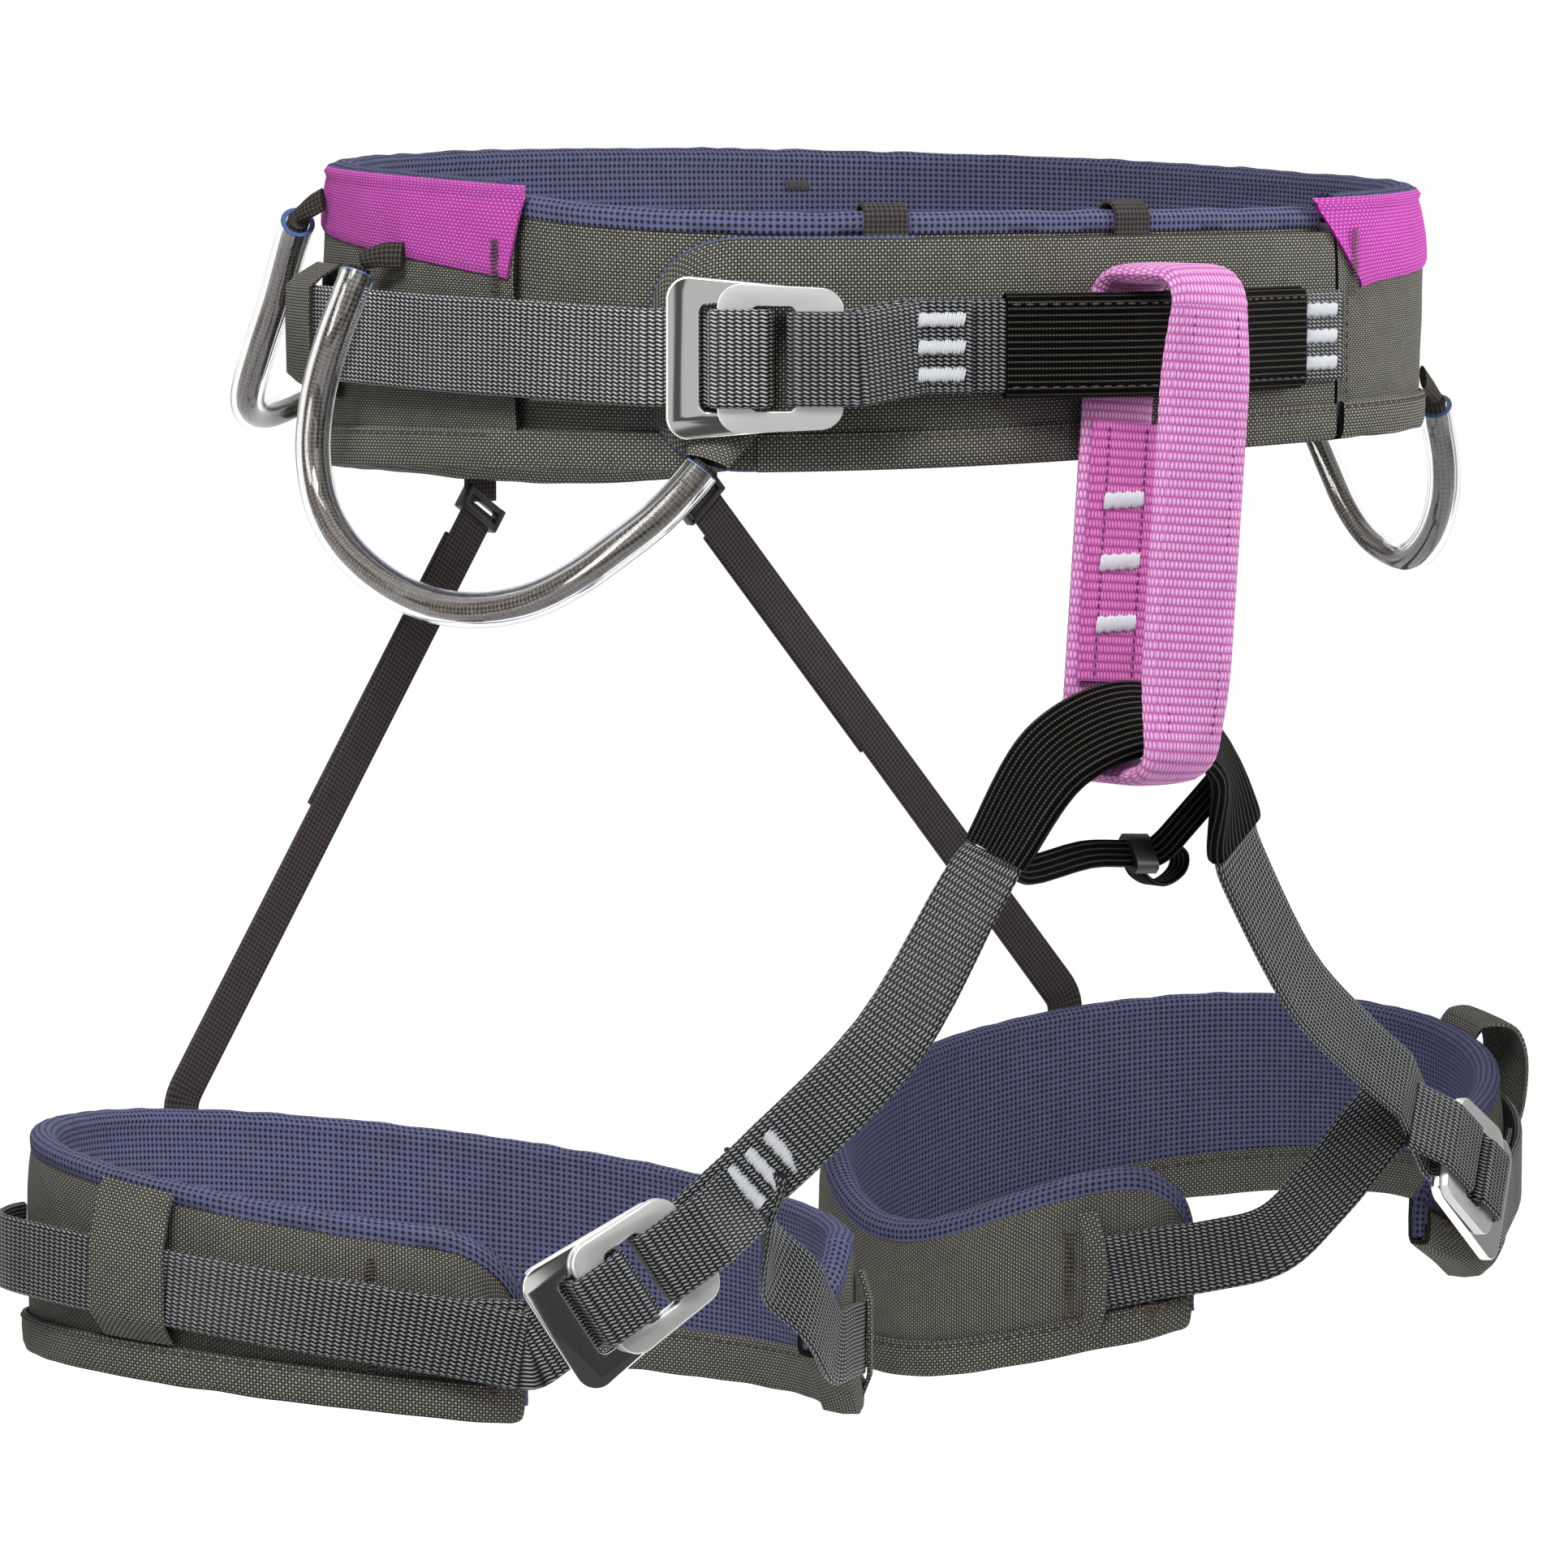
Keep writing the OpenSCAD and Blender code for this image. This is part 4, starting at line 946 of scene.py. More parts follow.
    def hem_section(self, t: float) -> Section:
        """Folded strip round the lower edge."""
        low, top = self.bottom(t), self.top(t)
        v = self.hem_out / max(top - low, 2 * self.hem_out)
        o = self.face(t, v) + 0.5 + ripple(self.run(t), 5.0, self.seed + 11, 0.5)
        w = 1.1
        fold = 0.4 * noise.noise(Vector((self.run(t) / 12, 0.0, self.seed + 5)))
        outside = [(o + w, low + self.hem_out - 0.4), (o + w + 0.2, low + 5), (o + w - 0.1, low + 1),
                   (o + 0.2, low - 1.0 + fold), (o / 2, low - 1.6 + fold), (-0.8, low - 1.2 + fold)]
        inside = [(-1.5, low + 0.8), (-1.6, low + 6),
                  (-1.4, low + self.hem_in - 0.5), (-0.7, low + self.hem_in)]
        back = [(-0.2, low + self.hem_in - 0.6), (-0.2, low), (o - 0.8, low), (o, low + self.hem_out)]
        return outside + inside + back

    def hem_stitches(self) -> Marks:
        """Stitches along the hem, outside and inside."""
        at = self.surface.at
        up, out = HEM_SEAM
        outside = [at(t, self.hem_section(t)[1][0] + out, self.bottom(t) + up) for t in self.angles()]
        inside = [at(t, -1.6 - out, self.bottom(t) + up + 2.2) for t in self.angles()]
        return stitched(outside) + stitched(inside)

    def end_trim(self, name: str, last: bool) -> bpy.types.Object:
        """Mesh piping round a rounded end and some way along the upper edge.

        Args:
            name: the piece's name.
            last: whether it goes round the pad's last end.

        Returns:
            The piece.
        """
        r = 1.9
        end, way = (self.end, -1) if last else (self.start, 1)
        off = self.face(end, 1.0) / 2
        low, high = self.bottom(end) + 1.0, self.top(end) - 1.0
        places = [(end, z) for z in steps(low, high, 3.0)]
        for d in (0.6, 1.5, 3, 5, 7.5, 10.5, 14, 18, 22, 26):
            t = end + way * math.degrees(d / self.reach)
            places.append((t, self.top(t) - 0.6))
        pts = [self.surface.at(t, mix(off, self.face(t, 1.0) / 2, 0.5), z) for t, z in places]
        path, _ = resample(pts, pts, 1.2 * MM, 2)
        side = self.surface.at(end, 1.0, 0.0) - self.surface.at(end, 0.0, 0.0)
        rings = []
        for i, (p, d) in enumerate(zip(path, tangents(path))):
            wide = squared(side, d)
            lump = r * (1 + 0.2 * noise.noise(Vector((i / 4, 1.0, self.seed))))
            ring = [wide * math.cos(a) + wide.cross(d) * math.sin(a)
                    for a in steps(0, 2 * math.pi, 0.7)[:-1]]
            rings.append([p + q * lump * MM for q in ring])
        return skin(name, rings, MESH)


class Studio:
    """Camera, lamps, floor and background."""

    SENSOR = 36.0
    LENS = 167.7
    AZIMUTH = -40.0
    PITCH = 5.4
    DISTANCE = 2.0
    SHIFT = (0.02533, 0.12911)
    FLOOR = -0.74
    FLOOR_GLOW = 0.92
    SOFT_LIGHT = 0.12
    MIRROR_RANGE = 1.5
    LAMP_AIM = (0, 0, -0.12)
    CARD_AIM = (-0.05, -0.1, -0.1)

    def axes(self) -> tuple[Vector, Vector, Vector]:
        """The camera's directions: back to it, right and up."""
        a, p = math.radians(self.AZIMUTH), math.radians(self.PITCH)
        back = Vector((math.sin(a) * math.cos(p), -math.cos(a) * math.cos(p), math.sin(p)))
        right = Vector((math.cos(a), math.sin(a), 0))
        return back, right, back.cross(right)

    def place(self) -> Vector:
        """Where the camera stands."""
        back, right, up = self.axes()
        return back * self.DISTANCE - right * self.SHIFT[0] - up * self.SHIFT[1]

    def mirrored_by(self, at: Vector, n: Vector) -> Vector:
        """Place that the camera sees in a mirror at a point that faces n."""
        view = (self.place() - at).normalized()
        return at + (n * 2 * view.dot(n) - view) * self.MIRROR_RANGE

    def camera(self) -> None:
        """Makes the camera at the photograph's angle."""
        back, right, up = self.axes()
        data = bpy.data.cameras.new("camera")
        data.sensor_width, data.lens = self.SENSOR, self.LENS
        data.clip_start, data.clip_end = 0.05, 60.0
        obj = bpy.data.objects.new("camera", data)
        bpy.context.scene.collection.objects.link(obj)
        turn = Matrix((right, up, back)).transposed().to_4x4()
        obj.matrix_world = Matrix.Translation(self.place()) @ turn
        bpy.context.scene.camera = obj

    def lamp(self, name: str, place: tuple[float, float, float], size: float, power: float) -> None:
        """Makes a soft lamp that looks at the harness.

        Args:
            name: the lamp's name.
            place: where it stands, in metres.
            size: the side of its square, in metres.
            power: its power in watts.
        """
        data = bpy.data.lights.new(name, "AREA")
        data.size, data.energy = size, power
        obj = bpy.data.objects.new(name, data)
        bpy.context.scene.collection.objects.link(obj)
        obj.matrix_world = self.aimed(place, self.LAMP_AIM)

    def aimed(self, place: Sequence[float], target: Sequence[float]) -> Matrix:
        """Where a lamp or card stands so that it looks at a target."""
        aim = Vector(target) - Vector(place)
        return Matrix.Translation(place) @ aim.to_track_quat("-Z", "Y").to_matrix().to_4x4()

    def world(self) -> None:
        """Makes the white background and its soft light."""
        world = bpy.context.scene.world = bpy.data.worlds.new("studio")
        t = Tree(world)
        soft, white = t.nodes["Background"], t.add("ShaderNodeBackground")
        for node, strength in ((soft, self.SOFT_LIGHT), (white, 1.0)):
            node.inputs["Color"].default_value = WHITE
            node.inputs["Strength"].default_value = strength
        t.seen_as(soft, white, "World Output")

    def floor(self) -> None:
        """Makes the pale floor."""
        bm = bmesh.new()
        bmesh.ops.create_grid(bm, x_segments=1, y_segments=1, size=12.0,
                              matrix=Matrix.Translation((0, 0, self.FLOOR)))
        pale = Finish("pale_floor", (226, 226, 226), rough=0.9)
        finish_mesh("floor", bm, pale)
        t = Tree(pale.material())
        glow, both = t.add("ShaderNodeEmission"), t.add("ShaderNodeAddShader")
        glow.inputs["Strength"].default_value = self.FLOOR_GLOW
        t.link(t.shader.outputs[0], both.inputs[0])
        t.link(glow.outputs[0], both.inputs[1])
        t.seen_as(t.shader, both, "Material Output")

    def flag(self, name: str, place: Vector, size: tuple[float, float], glow: float,
             shade: bool = False) -> None:
        """Makes a card that only metal and tubing mirror, or one that only shades a lamp.

        Args:
            name: the card's name.
            place: where it stands, in metres.
            size: its width and height in metres.
            glow: strength of its white light.
            shade: whether it shades a lamp.
        """
        stand = self.aimed(place, self.CARD_AIM) @ Matrix.Diagonal((size[0], size[1], 1, 1))
        bm = bmesh.new()
        bmesh.ops.create_grid(bm, x_segments=1, y_segments=1, size=0.5, matrix=stand)
        finish = Finish(name + "_paper", (0, 0, 0), rough=1.0)
        shader = Tree(finish.material()).shader
        shader.inputs["Emission Color"].default_value = WHITE
        shader.inputs["Emission Strength"].default_value = glow
        card = finish_mesh(name, bm, finish)
        card.visible_camera = card.visible_diffuse = False
        card.visible_shadow = shade
        card.visible_glossy = card.visible_transmission = not shade

    def build(self) -> None:
        """Makes the whole studio."""
        bpy.context.scene.view_settings.view_transform = "Standard"
        self.camera()
        self.world()
        self.floor()
        self.cards()
        self.lamp("key_lamp", (-0.9, -0.6, 0.85), 0.5, 14.5)
        self.lamp("side_lamp", (1.05, -0.7, 0.35), 0.6, 13)
        self.lamp("front_lamp", (-0.6, -2.2, 0.9), 1.2, 5)
        self.lamp("back_lamp", (0.6, 1.9, 1.7), 1.4, 16)

    def cards(self) -> None:
        """Makes the cards: where each stands, its width and height, and its light."""
        back, right, up = self.axes()
        waist = self.mirrored_by(Vector((-0.09, -0.1, 0)), Vector((-0.694, -0.720, 0)))
        right_leg, left_leg = [
            self.mirrored_by(Vector((s * 0.154, -0.077, -0.245)), Vector((s * 0.354, -0.930, 0.098)))
            for s in (-1, 1)]
        self.flag("waist_card", waist, (0.8, 0.8), 0.6)
        self.flag("waist_slit", waist * 0.95 - right * 0.2, (0.16, 0.8), 0.06)
        self.flag("right_leg_card", right_leg, (0.6, 0.7), 0.03)
        self.flag("left_leg_card", left_leg, (0.7, 0.9), 0.3)
        self.flag("streak_card", back * 0.9 - right * 0.6 + up * 1.0, (0.22, 1.0), 9.0)
        self.flag("tube_card", back * 1.5 - right * 1.5, (0.6, 1.9), 15.0)
        self.flag("leg_shade", Vector((0.36, -0.13, -0.11)), (0.22, 0.2), 0.0, shade=True)
        self.flag("left_card", back * 0.5 - right * 1.5, (1.0, 2.2), 0.03)
        self.flag("right_card", back * 0.7 + right * 1.5, (0.9, 2.2), 0.03)
        self.flag("upper_card", back * 0.4 + right * 0.5 + up * 1.3, (1.2, 0.6), 0.03)
        self.flag("lower_card", back * 0.9 - up * 0.62, (1.6, 0.4), 0.05)


@dataclass
class WaistBelt:
    """Padded belt with hem, bright hip panels, and the mesh lining rolled over its top."""

    start: float = 29.0
    end: float = 277.4
    shell_ends: tuple[float, float] = (28.6, 281.0)
    seed: float = 1.3
    hip_t: float = 0.9
    right_hip: tuple[float, float] = (233.0, 281.0)
    left_hip: tuple[float, float] = (28.6, 118.0)
    low_front: float = 12.0
    low_back: float = 25.0
    low_left: float = 8.0
    hem_end: float = 301.0
    panel_face: float = 5.2
    hip_tacks: tuple[tuple[float, float, float], ...] = ((278.6, 9.0, 18.0), (31.2, 11.0, 17.0))
    back_tacks: tuple[float, ...] = (150.0, 205.0)
    layers: PadLayers = field(init=False)

    def __post_init__(self) -> None:
        """Sets the pad's layers on the belt."""
        self.layers = PadLayers(BELT, self.start, self.end, BELT.reach, self.seed)

    def hip_section(self, phi: float, low: float) -> Section:
        """Bright cloth from a height up to the rolled edge."""
        lay = self.layers
        bottom, top = BELT.bottom(phi), BELT.top(phi) - 2.8
        v0 = (low - bottom) / (top - bottom)
        lump = 0.15 * noise.noise(Vector((lay.run(phi) / 8, 2.0, 4.4)))
        shares = [mix(v0, 1.0, i / 12) for i in range(13)]
        inner = [(lay.shell_off(phi, v) + 0.3, mix(bottom, top, v)) for v in shares]
        c, z = lay.rim(phi)
        inner += [(2 * c + 0.7, z + 0.4), (2 * c + 0.2, z + 1.9)]
        outer = [(o + self.hip_t * (0.8 if 0 < i < 14 else 0.2) + lump, q)
                 for i, (o, q) in enumerate(inner)]
        return outer + list(reversed(inner))

    def hem_section(self, phi: float) -> Section:
        """The pad's hem, which runs on over the thinner front panel."""
        drop = (self.panel_face - BELT.face(0.2)) * smooth((phi - self.end) / 7.0)
        return [(o + drop if o > 2 else o, z) for o, z in self.layers.hem_section(phi)]

    def hip(self, name: str, ends: tuple[float, float], lows: tuple[float, float], lean: float) -> None:
        """Makes a bright hip panel.

        Args:
            name: the panel's name, which is its node's too.
            ends: angles where it starts and ends.
            lows: heights of its lower edge there.
            lean: how much its front edge slants, in degrees round the belt.
        """
        rings = []
        for phi in steps(*ends, 1.0):
            share = (phi - ends[0]) / (ends[1] - ends[0])
            section = self.hip_section(phi, mix(*lows, share))
            slant = lean * max(0.0, 1 - 12 * share if lows[0] < lows[1] else 12 * share - 11)
            rings.append([BELT.at(phi + slant * (z - 20) / 14, o, z) for o, z in section])
        piece(skin(name, rings, MAGENTA, sharp=60.0), "waist", "magenta_fabric", name)

    def build(self) -> None:
        """Makes the belt's pieces."""
        lay = self.layers
        outer = PadLayers(BELT, *self.shell_ends, BELT.reach, self.seed)
        foam = lay.lay("belt_foam", lay.foam_section, FOAM)
        piece(foam, "waist", "foam", "waist_foam")
        lining = lay.lay("belt_lining", lay.lining_section, MESH_WAIST_SHADED)
        piece(lining, "waist", "blue_mesh", "waist_lining")
        shell = outer.lay("belt_shell", outer.shell_section, GREY)
        piece(shell, "waist", "grey_fabric", "waist_shell")
        hem = lay.lay("belt_hem", self.hem_section, GREY, angles=steps(self.start, self.hem_end, 1.3))
        piece(hem, "waist", "grey_fabric", "waist_hem")
        marks = lay.hem_stitches()
        piece(beads("belt_hem_stitches", marks, GREY_THREAD), "waist", "grey_fabric")
        self.hip("right_hip_panel", self.right_hip, (self.low_back, self.low_front), 1.0)
        self.hip("left_hip_panel", self.left_hip, (self.low_left, self.low_back), -5.2)
        self.tacks()

    def tacks(self) -> None:
        """Dark tacks on the bright panels and inside the back."""
        marks = []
        lay = self.layers
        for phi, z, h in self.hip_tacks:
            low, top = BELT.bottom(phi), BELT.top(phi)
            off = lay.shell_off(phi, (z - low) / (top - low)) + 1.3
            marks += tacked(BELT.at(phi, off, z + 4), UP, BELT.along(phi), h, 4.0, 1.0, 0.3)
        for phi in self.back_tacks:
            middle = BELT.at(phi, -0.9, BELT.top(phi) - 9)
            marks += tacked(middle, BELT.along(phi), UP, 7.0, 4.0, 0.8, 0.32)
        piece(beads("belt_tacks", marks, GREY_THREAD), "waist", "grey_fabric")


@dataclass
class FrontClosure:
    """Front panel behind the flap, the flap with its rounded end, and the elastic keepers."""

    panel: tuple[float, float] = (278.0, 366.0)
    flap: tuple[float, float] = (297.0, 388.3)
    panel_top: float = 28.5
    panel_bottom: float = -34.0
    panel_out: float = 4.9
    flap_top: float = 23.0
    flap_bottom: float = -37.0
    flap_in: float = 5.4
    flap_out: float = 7.9
    corner: float = 17.0
    keepers: tuple[float, float] = (319.5, 352.5)
    keeper_w: float = 12.0
    piping_r: float = 0.7
    side_seam: float = 29.8

    def rise(self, phi: float) -> float:
        """How much higher the panel's edge is towards the right hip."""
        return 4.5 * held(1 - (phi - self.panel[0]) / 34) ** 2

    def panel_pieces(self) -> None:
        """Makes the panel's lining with its rolled edge, its foam and its shell."""
        angles = steps(self.panel[0], self.flap[1] - 1.5, 1.3)

        def lining(phi: float) -> Section:
            lump = 0.5 * noise.noise(Vector((phi / 5, 8.0, 2.2)))
            z, c, r = self.panel_top + self.rise(phi) - 1.8, 2.5, 3.0 + 0.4 * lump
            low = self.panel_bottom + BELT.trim(phi)
            heights = [mix(low, z, i / 11) for i in range(12)]
            face = [(ripple(phi * 2, q, 5.5, 0.5), q) for q in heights]
            over = [(c - r * math.cos(a), z + (3.0 + lump) * math.sin(a))
                    for a in steps(0.0, math.pi, 0.35)]
            return face + over + [(5.2, z - 2.6), (4.2, z - 3.0), (1.6, z - 3.0), (1.6, low)]

        def foam(phi: float) -> Section:
            low = self.panel_bottom + BELT.trim(phi) + 1
            return [(1.9, low), (3.8, low), (3.8, 24.0), (1.9, 24.0)]

        def shell(phi: float) -> Section:
            top = self.panel_top + self.rise(phi) - 2.2
            qs = [mix(self.panel_bottom + BELT.trim(phi), top, i / 20) for i in range(21)]
            wave = [ripple(phi * 2.1, q, 9.1, 0.35) for q in qs]
            outer = [(self.panel_out + w - 0.1, q) for q, w in zip(qs, wave)]
            return outer + [(4.1 + w, q) for q, w in reversed(list(zip(qs, wave)))]

        lay = PadLayers(BELT, *self.panel, 120.0, 4.0)
        inner = lay.lay("panel_lining", lining, MESH, angles=angles)
        piece(inner, "waist", "blue_mesh", "front_panel_lining")
        core = lay.lay("panel_foam", foam, FOAM, angles=angles)
        piece(core, "waist", "foam", "front_panel_foam")
        outer = lay.lay("panel_shell", shell, GREY, angles=angles)
        piece(outer, "waist", "grey_fabric", "front_panel_shell")

    def drop(self, phi: float, inset: float) -> float:
        """Drop of the flap's edge towards its rounded end."""
        s = (phi - self.flap[0]) * BELT.half_d * math.pi / 180 - inset
        r = self.corner
        return inset + (0.0 if s >= r else r - math.sqrt(max(0.0, r * r - (r - max(s, 0.0)) ** 2)))

    def flap_pieces(self) -> None:
        """Makes the flap's foam, its outer cloth, its hem and its piping."""
        start = [self.flap[0] + d for d in (0.0, 0.15, 0.4, 0.8, 1.4, 2.2, 3.2, 4.4, 5.8, 7.2, 8.6)]
        angles = start + steps(self.flap[0] + 10, self.flap[1], 1.3)
        lay = PadLayers(BELT, *self.flap, 122.0, 6.0)

        def outline(phi: float, inset: float) -> tuple[float, float]:
            d = self.drop(phi, inset)
            return self.flap_bottom + d + BELT.trim(phi), self.flap_top - d

        def core(phi: float) -> Section:
            low, top = outline(phi, 0.8)
            o = self.flap_in
            return [(o, low), (o + 1.0, low), (o + 1.0, top), (o, top)]

        def cloth(phi: float) -> Section:
            low, top = outline(phi, 0.0)
            vs = steps(0.0, 1.0, 0.05)
            full = min(1.0, 0.25 + (phi - self.flap[0]) / 5)
            outer = []
            for v in vs:
                z = mix(low, top, v)
                swell = 0.9 * crown(v) * full - 0.9 + ripple(phi * 2.0, z, 12.5, 0.45) * crown(v)
                outer.append((self.flap_out + 0.5 + swell, z))
            return outer + [(self.flap_in + 1.2, mix(low, top, v)) for v in reversed(vs)]

        foam = lay.lay("flap_foam", core, FOAM, angles=angles[4:])
        piece(foam, "waist", "foam", "front_flap_foam")
        outer = lay.lay("flap_cloth", cloth, GREY, angles=angles)
        piece(outer, "waist", "grey_fabric", "front_flap_shell")
        o = self.flap_out + 0.4

        def hem(phi: float) -> Section:
            b = self.flap_bottom + BELT.trim(phi)
            w = 0.7 + 0.2 * noise.noise(Vector((phi / 4, 2.0, 1.5)))
            return [(o + w, b + 8.8), (o + w + 0.1, b + 4), (o + w, b + 0.4), (o - 0.4, b - 0.9),
                    (self.flap_in, b - 0.7), (self.flap_in, b - 0.1), (o - 0.6, b - 0.1),
                    (o - 0.1, b + 0.8), (o - 0.1, b + 8.8)]

        span = steps(self.flap[0] + 10, self.flap[1], 1.3)
        piece(lay.lay("flap_hem", hem, GREY, angles=span), "waist", "grey_fabric")
        line = [BELT.at(phi, o + 0.9, self.flap_bottom + BELT.trim(phi) + 7.4) for phi in span]
        side_seam = [BELT.at(self.side_seam, BELT.face(0.5) + 0.4, z) for z in steps(6.0, -30.0, 4.0)]
        marks = stitched(line) + stitched(side_seam, 2.0, 0.9)
        piece(beads("flap_stitches", marks, GREY_THREAD), "waist", "grey_fabric")
        edge = [BELT.at(phi, self.flap_in + 1.3, outline(phi, -0.1)[k]) for k, run in
                ((0, reversed(angles[:24])), (1, angles[:24])) for phi in run]
        path, _ = resample(edge, edge, 1.2 * MM, 2)
        sides = [BELT.out(310.0)] * len(path)
        r = self.piping_r
        ring = [(r * math.cos(a), r * math.sin(a)) for a in steps(0, 2 * math.pi, 0.8)[:-1]]
        piece(sweep("flap_piping", path, sides, ring, MESH), "waist", "blue_mesh")

    def keeper_pieces(self) -> None:
        """Makes the elastic keepers over the panel's rolled edge."""
        for name, mid in zip(("right_keeper", "left_keeper"), self.keepers):
            line = [(6.0, self.flap_top - 3), (6.1, self.flap_top + 2), (6.2, self.panel_top - 1)]
            line += [(2.5 + 4.0 * math.cos(a), self.panel_top - 1.4 + 4.6 * math.sin(a))
                     for a in steps(0.2, math.pi - 0.2, 0.35)]
            line += [(-1.7, self.panel_top - 4), (-1.6, 20.0)]
            pts = [BELT.at(mid, o, z) for o, z in line]
            obj = strap(name, pts, BELT.along(mid), self.keeper_w, 0.9, ELASTIC, rounds=2)
            piece(obj, "waist", "black_fabric", "flap_keepers")

    def build(self) -> None:
        """Makes panel, flap and keepers."""
        self.panel_pieces()
        self.flap_pieces()
        self.keeper_pieces()


@dataclass(frozen=True)
class BuckleRoute:
    """How webbing runs through a double-plate buckle: u along the strap, n out of the frame, in mm."""

    ease: float = 1.3
    frame_from: float = -21.3
    frame_to: float = 22.5
    rise: float = -9.4
    fall: float = 5.1
    turn: float = 10.6
    slider_to: float = 24.1
    travel: float = 3.0
    over: float = 7.9
    under: float = -1.5
    tail: float = -4.1

    def adjustable(self) -> list[Vector]:
        """Route of the strap that is pulled tight, and of its tail."""
        low = self.under
        corners = [(self.frame_from - 1, low), (self.rise, low), (self.rise, self.over),
                   (self.fall, self.over), (self.fall, self.tail), (self.frame_from, self.tail)]
        start = Vector((self.frame_from - 6, 0, low))
        return [start] + eased([Vector((a, 0, b)) for a, b in corners], self.ease)

    def fixed(self) -> list[Vector]:
        """Route of the sewn strap over the slider's lip."""
        corners = [(self.slider_to + self.travel + 1, self.over), (self.turn, self.over),
                   (self.turn, self.under), (self.frame_to + 2, self.under)]
        return eased([Vector((a, 0, b)) for a, b in corners], self.ease)


ROUTE = BuckleRoute()


@dataclass(frozen=True)
class BuckleSeat:
    """Where a buckle sits: its middle in mm, the strap's direction and the direction out."""

    o: Vector
    u: Vector
    n: Vector

    @property
    def v(self) -> Vector:
        """Direction across the strap."""
        return self.n.cross(self.u)

    def placed(self, points: Sequence[Vector]) -> list[Vector]:
        """Points of the buckle's own frame in the harness, in mm."""
        return [self.o + p.x * self.u + p.y * self.v + p.z * self.n for p in points]


def metal_plate(node: str, body: str, width: float, finish: Finish = METAL) -> None:
    """Buckle plate with rounded edges, from its solid.

    Args:
        node: the solid's node, which names the piece too.
        body: the body that it rides on.
        width: width of the rounding in mm.
        finish: its finish.
    """
    bm = bmesh.new()
    bm.from_mesh(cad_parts[node].data)
    bmesh.ops.remove_doubles(bm, verts=bm.verts, dist=MERGE)
    bmesh.ops.dissolve_limit(bm, angle_limit=math.radians(2), verts=bm.verts, edges=bm.edges)
    edges = [e for e in bm.edges if len(e.link_faces) == 2 and e.calc_face_angle(0) > math.radians(50)]
    rounded(bm, edges, width, 4)
    piece(finish_mesh(node, bm, finish, 35.0), body, "buckle_metal", node)


